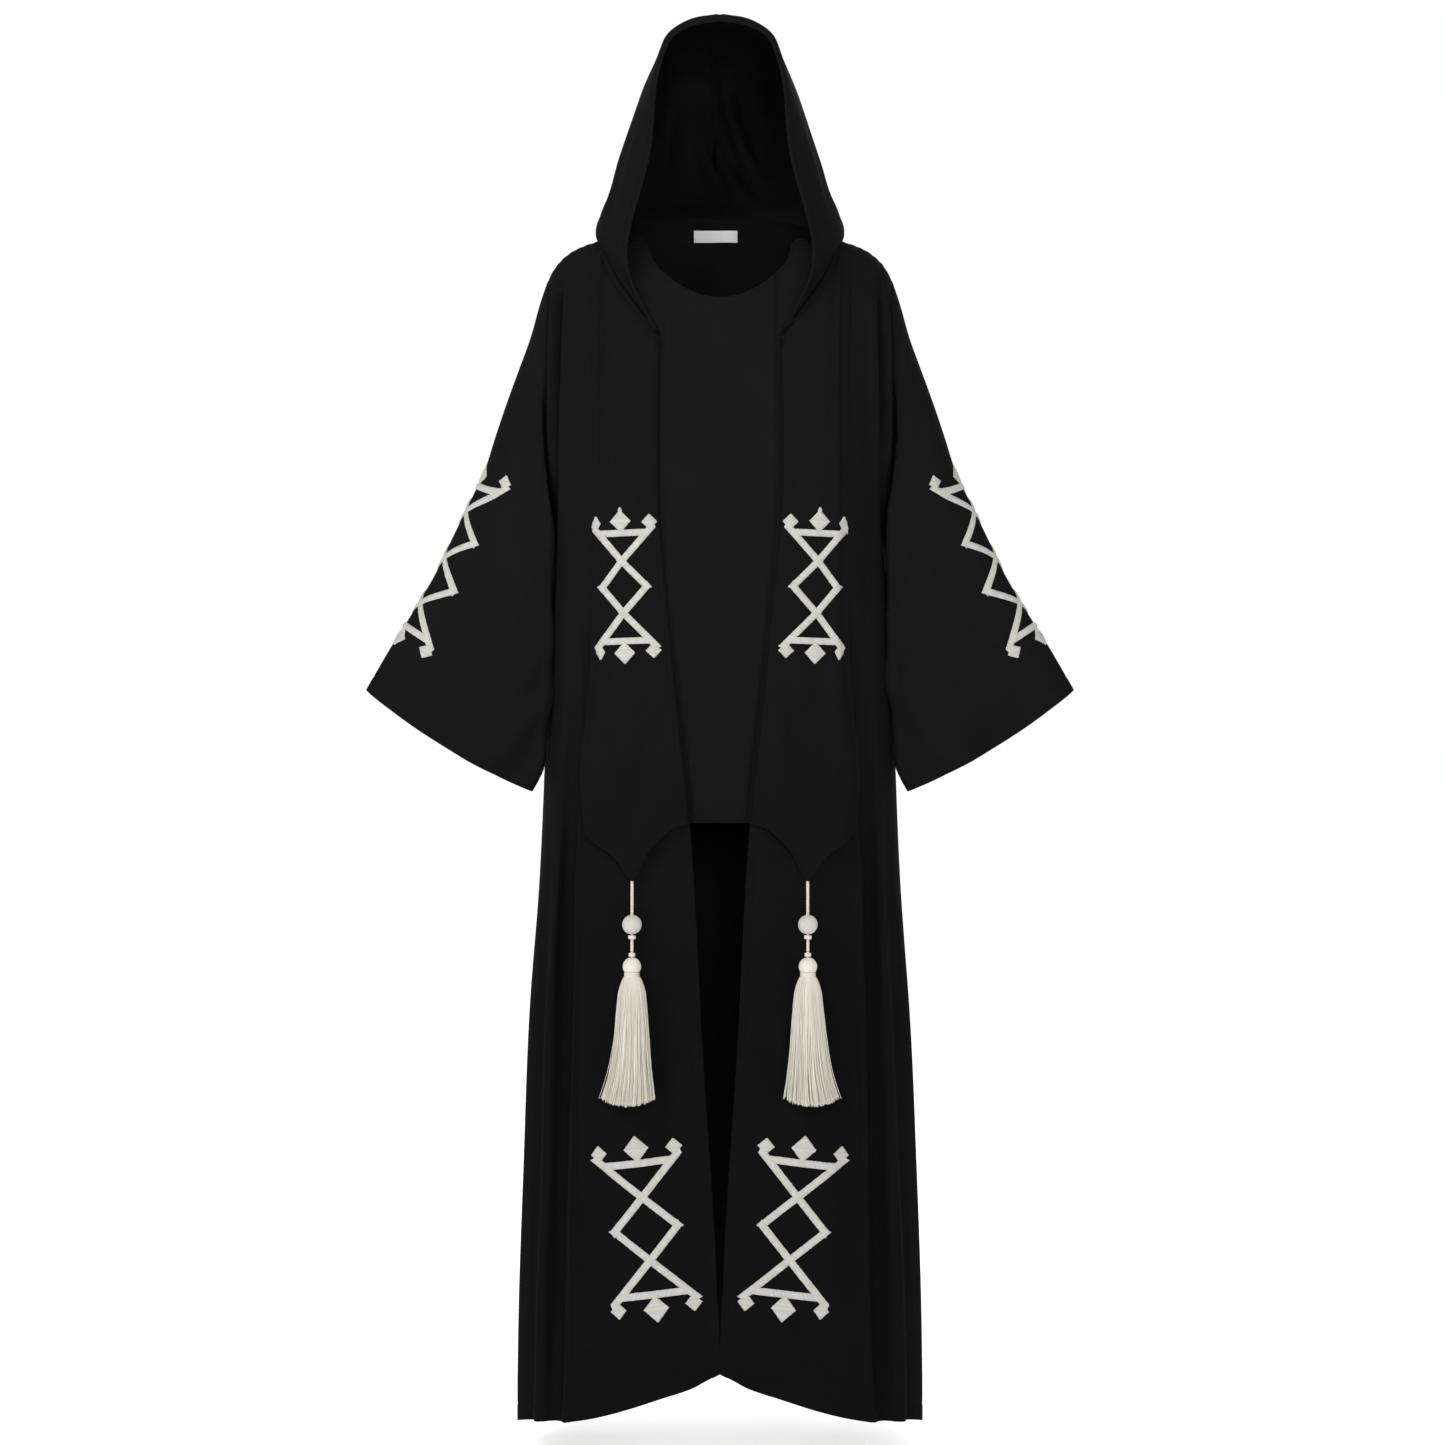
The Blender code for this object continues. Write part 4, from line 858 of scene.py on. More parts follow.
def seam(sheet, side, dip=SEAM_DIP, reach_in=SEAM_REACH):
    """Sink the cloth into a seam, with the faint puckers of its stitching."""
    away = sheet.distance(side)
    axis = 1 if side in ("bottom", "top") else 0
    along_it = sheet.distance("start" if axis == 1 else "bottom")
    ripple = PUCKER * np.sin(2 * np.pi * along_it / PUCKER_STEP)
    ripple = ripple * bell(away - PUCKER_AT, PUCKER_WIDTH)
    sheet.moved(ripple - dip * bell(away, reach_in))


def arm_seam(sheet, side):
    """The armhole's seam lies in a soft fold, and goes on as a plain seam down the side."""
    drop = -sheet.points[..., 2]
    fold = ramp(drop, *ARM_FOLD_TOP) * (1 - ramp(drop, *ARM_FOLD_END))
    seam(sheet, side, SEAM_DIP + ARM_DIP * fold, SEAM_REACH + ARM_REACH * fold)


def neck_dip(sheet):
    """Depth of the neck seam: a fold under the hood's front, none at the nape."""
    deep = sheet.points[..., 1]
    return SEAM_DIP * (1 - ramp(deep, *NAPE)) + NECK_FOLD * (1 - ramp(deep, *NECK_FRONT))


def crease(flat, route, half, height):
    """A soft trough or ridge along a curved route of three flat places, fading at both ends."""
    share = np.linspace(0, 1, CREASE_STEPS + 1)[:, None]
    first, bend, last = route
    curve = (1 - share) ** 2 * first + 2 * share * (1 - share) * bend + share ** 2 * last
    spans = np.diff(curve, axis=0)
    away = flat[:, :, None] - curve[:-1]
    part = np.clip((away * spans).sum(axis=3) / (spans * spans).sum(axis=1), 0, 1)
    gaps = np.linalg.norm(away - part[..., None] * spans, axis=3)
    nearest = gaps.argmin(axis=2)
    part = np.take_along_axis(part, nearest[..., None], axis=2)[..., 0]
    share = (nearest + part) / CREASE_STEPS
    fade = ramp(share, 0.0, CREASE_FADE) * ramp(1 - share, 0.0, CREASE_FADE)
    return height * fade * bell(gaps.min(axis=2), half)


def creased(sheet, flat, name, held=()):
    """Add the creases of a table. They fade out at the held sides."""
    moved = np.zeros(sheet.points.shape[:2])
    for row in np.array(CREASES[name]) / 1000:
        moved += crease(flat, row[:6].reshape(3, 2), row[6], row[7])
    for side in held:
        moved = moved * ramp(sheet.distance(side), 0.0, SEAM_HOLD)
    sheet.moved(moved)


def swayed(sheet, flat, seed):
    """Slow uneven waves that hang down the cloth, none at its edges."""
    dice = np.random.default_rng(seed)
    waves = np.zeros(sheet.points.shape[:2])
    for _ in range(SWAY_WAVES):
        across = 2 * np.pi / dice.uniform(*SWAY_ACROSS)
        down = 2 * np.pi / dice.uniform(*SWAY_DOWN)
        waves += np.sin(across * flat[..., 0] + down * flat[..., 1] + dice.uniform(0, 6.3))
    calm = 1.0
    for side in ("bottom", "top", "start", "end"):
        calm = calm * ramp(sheet.distance(side), 0.0, SWAY_CALM)
    sheet.moved(SWAY_HEIGHT * waves * calm)


def floats(values):
    """Values in the flat form that a mesh takes."""
    return np.ascontiguousarray(values, dtype=np.float32).ravel()


def make_mesh(name, points, faces, finish, places=None):
    """An object from arrays of points and of four-cornered faces, smooth shaded."""
    mesh = bpy.data.meshes.new(name)
    mesh.vertices.add(len(points))
    mesh.vertices.foreach_set("co", floats(points))
    mesh.loops.add(faces.size)
    mesh.loops.foreach_set("vertex_index", np.ascontiguousarray(faces, dtype=np.int32).ravel())
    mesh.polygons.add(len(faces))
    mesh.polygons.foreach_set("loop_start", np.arange(0, faces.size, 4, dtype=np.int32))
    mesh.update(calc_edges=True)
    if places is not None:
        mesh.uv_layers.new(name="cloth").uv.foreach_set("vector", floats(places[faces.ravel()]))
    mesh.validate()
    mesh.shade_smooth()
    mesh.set_sharp_from_angle(angle=math.radians(60))
    mesh.materials.append(finish)
    made = bpy.data.objects.new(name, mesh)
    bpy.context.collection.objects.link(made)
    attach(made, "root")
    return made


def cloth_piece(name, sheet, finish, node):
    """The closed thin wall of a sheet, which stands for its CAD node."""
    rows, columns = sheet.points.shape[:2]
    count = rows * columns
    quads = sheet.quads()
    place = np.arange(count).reshape(rows, columns)
    if sheet.ring:
        loops = [np.append(place[0], place[0, 0]), np.append(place[-1], place[-1, 0])[::-1]]
        across = np.tile(np.linspace(0, RING_WEAVE, columns), (rows, 1))
    else:
        loops = [np.concatenate((place[0], place[1:, -1], place[-1, -2::-1], place[-2::-1, 0]))]
        across = sheet.distance("start")
    rims = []
    for line in loops:
        one, two = line[:-1], line[1:]
        rim = np.stack((two, one, one + count, two + count), axis=-1)
        rims.append(rim if sheet.outward > 0 else rim[:, ::-1])
    faces = np.concatenate((quads, quads[:, ::-1] + count, *rims))
    points = np.concatenate((sheet.points.reshape(-1, 3), sheet.inner().reshape(-1, 3)))
    places = coordinates(across, sheet.distance("bottom")).reshape(-1, 2)
    made = make_mesh(name, points, faces, finish, np.concatenate((places, places)))
    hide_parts(node)
    return made


def tubes(name, paths, normals, radius, sides, finish, slot="ivory_thread"):
    """One object of many round threads. Paths and normals are arrays (thread, point, 3)."""
    paths = np.asarray(paths, dtype=float)
    ways = unit(np.gradient(paths, axis=1))
    across = unit(np.cross(ways, normals))
    up = np.cross(across, ways)
    radius = np.broadcast_to(np.asarray(radius, dtype=float), paths.shape[:2])[..., None]
    rings = []
    for k in range(sides):
        turn = 2 * math.pi * (k + 0.5) / sides
        rings.append(paths + radius * (math.cos(turn) * across + math.sin(turn) * up))
    points = np.stack(rings, axis=2)
    threads, steps = paths.shape[:2]
    place = np.arange(threads * steps * sides).reshape(threads, steps, sides)
    after = np.roll(place, -1, axis=2)
    faces = np.stack((place[:, :-1], after[:, :-1], after[:, 1:], place[:, 1:]), axis=-1)
    faces = faces.reshape(-1, 4)[:, ::-1]
    caps = [place[:, 0], place[:, -1, ::-1]] if sides == 4 else []
    made = make_mesh(name, points.reshape(-1, 3), np.concatenate([faces, *caps]), finish)
    return made


class Chart:
    """Finds the points and normals of a sheet at flat places."""

    def __init__(self, sheet, flat, inside=False):
        self.flat = flat.reshape(-1, 2)
        self.points = (sheet.inner() if inside else sheet.points).reshape(-1, 3)
        self.normals = sheet.normals.reshape(-1, 3) * (-1 if inside else 1)
        quads = sheet.quads()
        self.faces = np.concatenate((quads[:, (0, 1, 2)], quads[:, (0, 2, 3)]))
        spots = self.flat[self.faces]
        wide = (spots.max(axis=1) - spots.min(axis=1)).max(axis=1)
        self.faces = self.faces[wide < CHART_WIDEST]
        corners = [(float(u), float(v), 0.0) for u, v in self.flat]
        self.tree = BVHTree.FromPolygons(corners, [tuple(map(int, face)) for face in self.faces])

    def on(self, places, lift=0.0):
        """Points lifted off the cloth at flat places, and the normals there."""
        places = np.asarray(places, dtype=float)
        spots = places.reshape(-1, 2)
        found = [self.tree.find_nearest(Vector((u, v, 0.0)))[2] for u, v in spots]
        face = self.faces[np.array(found)]
        a, b, c = (self.flat[face[:, k]] for k in range(3))
        east, north = (spots - c).T
        (one, two), (three, four) = (a - c).T, (b - c).T
        whole = four * one - three * two
        whole = np.where(np.abs(whole) < 1e-14, 1e-14, whole)
        first = (four * east - three * north) / whole
        second = (one * north - two * east) / whole
        share = np.clip(np.stack((first, second, 1 - first - second), axis=1), 0, 1)
        share = (share / share.sum(axis=1, keepdims=True))[..., None]
        normals = unit((self.normals[face] * share).sum(axis=1)).reshape(*places.shape[:-1], 3)
        points = (self.points[face] * share).sum(axis=1).reshape(*places.shape[:-1], 3)
        return points + normals * np.broadcast_to(lift, places.shape[:-1])[..., None], normals


def stitch_line(sheet, side, inward, skip):
    """Ends and middles of the stitches that run along a side, a distance in from it."""
    away = sheet.distance(side)
    points, normals = sheet.points, sheet.normals
    if side in ("start", "end"):
        away, points, normals = away.T, points.swapaxes(0, 1), normals.swapaxes(0, 1)
    if side in ("top", "end"):
        away, points, normals = away[::-1], points[::-1], normals[::-1]
    line = []
    for k in range(points.shape[1]):
        both = np.concatenate((points[:, k], normals[:, k]), axis=1)
        line.append([np.interp(inward, away[:, k], column) for column in both.T])
    line = np.array(line + line[:1] if sheet.ring and side in ("bottom", "top") else line)
    places = lengths_along(line[:, :3])
    starts = np.arange(skip, places[-1] - skip - STITCH_LONG, STITCH_STEP)
    at = starts[:, None] + np.linspace(0, STITCH_LONG, 3)
    both = np.stack([np.interp(at, places, column) for column in line.T], axis=-1)
    lift = np.array((-STITCH_SUNK, STITCH_THICK, -STITCH_SUNK))
    return both[..., :3] + both[..., 3:] * lift[:, None], both[..., 3:]


def put(node, **values):
    """Set sockets and settings of a node by name, with _ for a space."""
    for key, value in values.items():
        socket = node.inputs.get(key.replace("_", " "))
        if socket is None:
            setattr(node, key, value)
        else:
            socket.default_value = value
    return node


class Paint:
    """A material's shader, with short ways to add, set and link its nodes."""

    def __init__(self, name, colour, roughness, specular, sheen=0.0, sheen_roughness=0.5):
        self.made = bpy.data.materials.new(name)
        self.made.use_nodes = True
        self.made.diffuse_color = (*colour, 1.0)
        self.nodes = self.made.node_tree.nodes
        self.link = self.made.node_tree.links.new
        self.shader = self.nodes["Principled BSDF"]
        put(self.shader, Base_Color=(*colour, 1.0), Roughness=roughness,
            Specular_IOR_Level=specular, Sheen_Weight=sheen, Sheen_Roughness=sheen_roughness)

    def add(self, kind, source=None, socket="Vector", **values):
        """A node with its values set, and one socket fed."""
        node = put(self.nodes.new("ShaderNode" + kind), **values)
        if source is not None:
            self.link(source, node.inputs[socket])
        return node

    def wave(self, source, direction, scale, distortion, detail=2.0):
        return self.add("TexWave", source, wave_type="BANDS", bands_direction=direction,
                        Scale=scale, Distortion=distortion, Detail=detail).outputs["Fac"]

    def noise(self, source, scale, detail, roughness=0.5):
        return self.add("TexNoise", source, Scale=scale, Detail=detail,
                        Roughness=roughness).outputs["Fac"]

    def between(self, source, low, high, first=0.0, last=1.0, steps="LINEAR"):
        """A number from low to high while the source goes from first to last."""
        return self.add("MapRange", source, "Value", interpolation_type=steps, From_Min=first,
                        From_Max=last, To_Min=low, To_Max=high).outputs["Result"]

    def tone(self, source, colour, low, high, first=0.0, last=1.0):
        """The colour times low to high while the source goes from first to last."""
        node = self.add("ValToRGB", source, "Fac")
        for end, place, gain in zip(node.color_ramp.elements, (first, last), (low, high)):
            end.position = place
            end.color = (*[min(gain * part, LIGHTEST) for part in colour], 1.0)
        return node.outputs["Color"]

    def coloured(self, tone, gain):
        """The base colour: a tone times a number."""
        mixed = self.add("Mix", data_type="RGBA", blend_type="MULTIPLY", Factor=1.0)
        self.link(tone, mixed.inputs[6])
        self.link(gain, mixed.inputs[7])
        self.link(mixed.outputs[2], self.shader.inputs["Base Color"])

    def bumped(self, source, strength, distance):
        bump = self.add("Bump", source, "Height", Strength=strength, Distance=distance)
        self.link(bump.outputs["Normal"], self.shader.inputs["Normal"])


def crepe_material(name, grey):
    """Matt black crepe: a close weave with pebbled, slightly uneven yarns."""
    paint = Paint(name, (grey, grey, grey), 0.86, DULL)
    cloth = paint.add("UVMap", uv_map="cloth").outputs["UV"]
    both = paint.add("Math", paint.wave(cloth, "X", 220.0, 1.6), 0, operation="ADD")
    paint.link(paint.wave(cloth, "Y", 200.0, 2.2), both.inputs[1])
    pebble = paint.noise(cloth, 900.0, 3.0, 0.6)
    grain = paint.add("Math", pebble, 0, operation="MULTIPLY_ADD")
    grain.inputs[1].default_value = 1.4
    paint.link(both.outputs[0], grain.inputs[2])
    paint.bumped(grain.outputs[0], 0.35, 0.00025)
    tone = paint.tone(paint.noise(cloth, 14.0, 4.0), (grey, grey, grey), 0.90, 1.10, 0.30, 0.70)
    # Painted shade: the crepe's colour darkens below one height towards the hem, for the light that
    # falls off there
    place = paint.add("SeparateXYZ", paint.add("TexCoord").outputs["Object"])
    paint.coloured(tone, paint.between(place.outputs["Z"], PAINTED_SHADE_GAIN, 1.0, PAINTED_SHADE_FULL_HEIGHT,
                                       PAINTED_SHADE_START_HEIGHT, "SMOOTHSTEP"))
    paint.link(paint.between(pebble, 0.80, 0.92), paint.shader.inputs["Roughness"])
    return paint.made


def thread_material(name, colour, spread, roughness, twist, specular=0.30, sheen=0.12):
    """Spun thread: each one a little lighter or darker, with fine twisted fibres."""
    paint = Paint(name, colour, roughness, specular, sheen)
    island = paint.add("NewGeometry").outputs["Random Per Island"]
    place = paint.add("TexCoord").outputs["Object"]
    flecks = paint.between(paint.noise(place, 1400.0, 2.0), 0.82, 1.12)
    paint.coloured(paint.tone(island, colour, 1 - spread, 1 + spread), flecks)
    paint.bumped(paint.wave(place, "DIAGONAL", twist, 1.0), 0.4, 0.00015)
    return paint.made


def satin_material(name, colour):
    """White satin tape with fine cross ribs."""
    paint = Paint(name, colour, 0.42, 0.35, 0.10, 0.4)
    ribs = paint.wave(paint.add("TexCoord").outputs["Object"], "X", 700.0, 0.4)
    paint.bumped(ribs, 0.35, 0.0001)
    # The ribs' low parts are a little darker: painted shade in the grooves between them
    paint.link(paint.tone(ribs, colour, 0.93, 1.0), paint.shader.inputs["Base Color"])
    return paint.made


def motif_parts(motif):
    """Strokes (start, end) and diamonds (centre, half across, half below) of a zigzag figure."""
    quarter = motif["quarter"]
    half = motif["stroke"] / 2
    count = motif["crossings"]
    first = -(count - 1) * quarter
    widths = {1: motif["outer"], -1: motif["inner"]}
    strokes = []
    diamonds = []
    for crossing in range(count):
        height = first + 2 * quarter * crossing
        up = HOOK_REACH if crossing == 0 else 1.0
        down = HOOK_REACH if crossing == count - 1 else 1.0
        for side, width in widths.items():
            strokes.append(((side * width * up, height - quarter * up), (0.0, height), half * 0.8))
            strokes.append(((0.0, height), (side * width * down, height + quarter * down),
                            half * 0.8))
    for facing, height in ((-1, first), (1, -first)):
        bar = height + facing * BAR_REACH * quarter
        strokes.append(((-BAR_REACH * motif["inner"], bar), (BAR_REACH * motif["outer"], bar), 0.0))
        size = END_DIAMOND_SIZE * quarter
        tip = height + facing * END_DIAMOND_REACH * quarter
        diamonds.append(((0.0, tip), size * END_DIAMOND_WIDE, size))
        if facing < 0 and "nub" in motif:
            diamonds.append(((0.0, tip - size), motif["nub"] * 0.5, motif["nub"]))
        for side, width in widths.items():
            corner = (side * HOOK_ACROSS * width, height + facing * HOOK_BELOW * quarter)
            size = HOOK_SIZE * half
            diamonds.append((corner, size * (motif["outer_hook"] if side > 0 else 1.0), size))
    return strokes, diamonds


def embroidery(name, motif, chart, side, seed, finish, node):
    """A figure of close satin stitches, each an arched thread from edge to edge of its stroke."""
    dice = np.random.default_rng(seed)
    half = motif["stroke"] / 2
    ends = []
    strokes, diamonds = motif_parts(motif)
    for start, end, extra in strokes:
        start, end = np.array(start), np.array(end)
        way = unit(end - start)
        across = np.array((-way[1], way[0])) + way * THREAD_SLANT
        start, end = start - way * extra, end + way * extra
        count = int(np.linalg.norm(end - start) / THREAD_PITCH)
        for share in (np.arange(count) + 0.5) / count:
            middle = start + (end - start) * share
            wide = (half - THREAD_RADIUS) * dice.uniform(*STROKE_UNEVEN)
            ends.append((middle - across * wide, middle + across * wide, 1.0))
    for centre, wide, below in diamonds:
        count = int(2 * below / THREAD_PITCH)
        for share in (np.arange(count) + 0.5) / count * 2 - 1:
            middle = np.array(centre) + (0.0, below * share)
            long = wide * (1 - abs(share)) * dice.uniform(*DIAMOND_UNEVEN) + THREAD_RADIUS
            ends.append((middle - (long, 0.0), middle + (long, 0.0), DIAMOND_CROWN))
    starts, stops, crowns = (np.array(column) for column in zip(*ends))
    share = np.linspace(0, 1, THREAD_STEPS)
    routes = starts[:, None] + (stops - starts)[:, None] * share[:, None]
    turn = math.radians(motif["turn"])
    outward = np.array((math.cos(turn), -math.sin(turn)))
    down = np.array((-math.sin(turn), -math.cos(turn)))
    middle = np.array((motif["middle"][0], -motif["middle"][1]))
    places = (middle + routes[..., :1] * outward + routes[..., 1:] * down) * (side, 1)
    arch = np.sqrt(np.clip(1 - (2 * share - 1) ** 2, 0, 1)) ** CROWN_FULLNESS
    crowns = crowns * dice.uniform(*CROWN_UNEVEN, len(crowns))
    lift = THREAD_LIFT + THREAD_CROWN * crowns[:, None] * arch
    paths, normals = chart.on(places, lift)
    made = tubes(name, paths, normals, THREAD_RADIUS, 4, finish, "ivory_embroidery")
    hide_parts(node)


def sleeve_places(sheet):
    """Flat places on a sleeve: distance round from its top fold, and up along it."""
    count = sheet.points.shape[1]
    ridge = sheet.points[:, 0]
    lengths = lengths_along(ridge)
    zero = np.interp(SLEEVE_MOTIF_DROP, -ridge[:, 2], lengths)
    tangents = unit(np.gradient(ridge, axis=0))
    flat = np.zeros((*sheet.points.shape[:2], 2))
    for side in (1, -1):
        place = coordinates(0.0, zero - lengths)
        for k in range(count // 2 + 1):
            flat[:, (side * k) % count] = place
            step = sheet.points[:, side * (k + 1) % count] - sheet.points[:, side * k % count]
            down = (step * tangents).sum(axis=1)
            round_it = np.sqrt(np.maximum((step * step).sum(axis=1) - down * down, 0.0))
            place = place + coordinates(side * round_it, -down)
    return flat


def twist(points):
    """Share of the hood's twist: full at the back of its middle, none at its sides and rims."""
    aside = 1 - ramp(np.abs(points[..., 0]), *TWIST_ACROSS)
    return ramp(points[..., 1], *TWIST_BACK) * ramp(points[..., 2], *TWIST_UP) * aside


def front_places(sheet):
    """(x, z) of each point."""
    return sheet.points[..., (0, 2)]


def hood_places(sheet):
    """(y, z) of each point."""
    return sheet.points[..., (1, 2)]


def nape_places(sheet):
    """(x, z) on the back of the hood. The rest of it lies a metre to the side."""
    flat = sheet.points[..., (0, 2)].copy()
    flat[..., 0] += np.where(sheet.points[..., 1] < NAPE_DEPTH, 1.0, 0.0)
    return flat


def body_panel(depths, hem_line, neck, edge, facing, places, step):
    """Right half of the front or back, its grid spaced for its hems and seams, before its creases.
    """
    base = body_base(depths, hem_line, neck, edge, facing)
    base = respaced(base, 0, hem_places(SKIRT_HEM), SEAM_PLACES, corner=UNDERARM_ROW)
    base = respaced(base, 1, places, SEAM_PLACES, step, NECK_COLUMN)
    if facing > 0:
        base[:, 0, 0] = 0.0
    return Sheet(base, -facing)


def joined(half):
    """A right half and its mirror image as one sheet."""
    flip = (-1, 1, 1)
    made = Sheet(np.concatenate((half.points[:, :0:-1] * flip, half.points), axis=1), half.outward)
    ways = half.seams["top"]
    made.seams = {"top": np.concatenate((ways[:0:-1] * flip, ways)),
                  "end": half.seams["end"], "start": half.seams["end"] * flip}
    made.find_normals()
    return made


def hood_panel():
    """Right half of the hood, its grid spaced for its hem and seams, before its creases."""
    base = respaced(hood_base(), 0, SEAM_PLACES, SEAM_PLACES, HOOD_GRID)
    base = respaced(base, 1, hem_places(HOOD_HEM), SEAM_PLACES, HOOD_GRID, SHOULDER_COLUMN)
    sheet = Sheet(base, 1)
    sheet.blunt = unit(np.array(BLUNT_WAY))
    sheet.find_normals()
    return sheet


def shared_ways(panel, points, ways):
    """Ways halfway between those of a panel's first row and of its neighbours' nearest points."""
    near = np.linalg.norm(panel.points[0][:, None] - points, axis=2).argmin(axis=1)
    return unit(panel.normals[0] + ways[near])


def joined_panels():
    """Front, back, sleeve and hood of the right half, which share the ways of their seams."""
    front = body_panel(FRONT_DEPTHS, FRONT_HEM, FRONT_NECK, FRONT_EDGES, -1,
                       hem_places(FRONT_HEM_WIDTH), FINE_GRID)
    back = body_panel(BACK_DEPTHS, BACK_HEM, BACK_NECK, BACK_EDGES, 1, PLAIN_PLACES, BACK_GRID)
    sleeve = Sheet(respaced(sleeve_base(), 0, SEAM_PLACES, hem_places(CUFF_HEM)), 1, ring=True)
    hood = hood_panel()
    underarm = int(np.argmin(np.abs(front.points[:, -1, 2] + UNDERARM)))
    body = (front, back)

    def both(rows, column):
        """Points and ways of the front and then the back, at some of their rows and a column."""
        return (np.concatenate([panel.points[rows, column] for panel in body]),
                np.concatenate([panel.normals[rows, column] for panel in body]))

    points, ways = both(np.s_[:underarm + 1], -1)
    ways = unit(ways * (1, 0, 1))
    rim, hole = both(np.s_[underarm:], -1)
    around = shared_ways(sleeve, rim, unit(hole))
    sleeve.meet("bottom", sleeve.points[0], around)
    for panel in body:
        panel.meet("end", np.concatenate((points, sleeve.points[0])),
                   np.concatenate((ways, around)))

    hood.meet("bottom", hood.points[0], shared_ways(hood, *both(-1, np.s_[:])))
    hood.meet("top", hood.points[-1], unit(hood.normals[-1] * (0, 1, 1)))
    hood.meet("end", hood.points[:, -1], unit(hood.normals[:, -1] * (0, 1, 1)))
    across = np.linspace(FRONT_NECK[-1][0], SHOULDER_TIP[0], SHOULDER_STEPS)
    shoulder = coordinates(across, 0.0, along(SHOULDERS, across))
    slope = unit(np.gradient(shoulder, axis=0))
    upward = coordinates(-slope[:, 2], 0.0, slope[:, 0])
    for panel in body:
        panel.meet("top", np.concatenate((hood.points[0], shoulder[1:])),
                   np.concatenate((hood.seams["bottom"], upward[1:])))
    for panel in (hood, sleeve):
        panel.points[0] = panel.points[0] - SEAM_LAP * unit(panel.points[2] - panel.points[0])
    return front, joined(back), sleeve, hood


def stole_panel():
    """Right overlay panel, its grid spaced for its hems, before its creases."""
    base = respaced(stole_base()[0], 0, hem_places(STOLE_HEM_WIDTH), PLAIN_PLACES)
    edge = hem_places(STOLE_HEM_WIDTH)
    return Sheet(respaced(base, 1, edge, edge, FINE_GRID), 1)


def inner_front():
    """Inner front panel, its grid spaced for its hems."""
    edge = hem_places(INNER_HEM_WIDTH)
    return Sheet(respaced(inner_base(), 0, edge, edge), 1)


def dressed(name, sheet, finish):
    """The cloth piece of a CAD node. Its greatest width and length laid flat, and its area, are
    worked out but not kept.
    """
    piece = cloth_piece("cloth_" + name, sheet, finish, name)
    width = float(sheet.distance("start")[:, -1].max())
    length = float(sheet.distance("bottom")[-1].max())
    area = sheet.area()
    if sheet.ring:
        around = np.concatenate((sheet.points, sheet.points[:, :1]), axis=1)
        width = max(lengths_along(row)[-1] for row in around)
        area = min(area, width * length)


def hemmed(sheet, hems):
    """Turn in the hems of a sheet, rows of (side, width)."""
    for side, width in hems:
        hem(sheet, side, width)


def stitched(sheet, hems, skip=STITCH_SKIP):
    """The stitches of the hems of a sheet, rows of (side, width)."""
    return [stitch_line(sheet, side, width - STITCH_IN, skip) for side, width in hems]


def front_cloth(sheet, name, side):
    """Creases, hems and seams of a front. Its edge meets the other front's at the hem."""
    flat = front_places(sheet)
    creased(sheet, flat, "front_" + name, ("top", "end"))
    swayed(sheet, flat, 11 + side)
    hemmed(sheet, FRONT_HEMS)
    arm_seam(sheet, "end")
    seam(sheet, "top", neck_dip(sheet))
    low = ramp(-sheet.points[..., 2], *HEM_CLOSE_DROPS)
    low = low * (1 - ramp(sheet.distance("start"), 0.0, HEM_CLOSE_WIDTH))
    sheet.points[..., 0] -= side * HEM_CLOSE * low


def hood_cloth(sheet, name):
    """Creases, hem, neck roll, twist and seams of a half of the hood."""
    creased(sheet, hood_places(sheet), "hood_" + name, ("bottom", "top", "end"))
    creased(sheet, nape_places(sheet), "nape_" + name, ("bottom", "top", "end"))
    hem(sheet, "start", HOOD_HEM, HOOD_ROLL)
    from_face, from_neck = sheet.distance("start"), sheet.distance("bottom")
    roll = bell(from_neck - NECK_ROLL_AT, NECK_ROLL_WIDTH)
    roll = roll * (1 - ramp(sheet.points[..., 1], *NECK_ROLL_FRONT))
    sheet.moved(NECK_ROLL * roll * ramp(from_face, *NECK_ROLL_START))
    sheet.points[..., 0] -= HOOD_TWIST * twist(sheet.points)
    seam(sheet, "bottom", neck_dip(sheet))
    away = ramp(sheet.distance("bottom"), 0.002, SEAM_FADE)
    away = away * ramp(sheet.from_corner(), *BLUNT_REACH)
    seam(sheet, "top", HOOD_SEAM_DIP * away * ramp(sheet.distance("start"), 0.004, SEAM_FADE))
    seam(sheet, "end", HOOD_SEAM_DIP * away)


def stole_cloth(sheet, name):
    """Creases, hems and sunk edges of an overlay panel."""
    creased(sheet, front_places(sheet), "stole_" + name)
    hemmed(sheet, STOLE_HEMS)
    near = bell(sheet.distance("end") - STOLE_FLAT_AT, STOLE_FLAT_WIDTH)
    sheet.moved(-STOLE_FLAT * near * (1 - ramp(-sheet.points[..., 2], *STOLE_FLAT_END)))
    for side, depth, width in STOLE_SINKS:
        sink(sheet, side, depth, width)


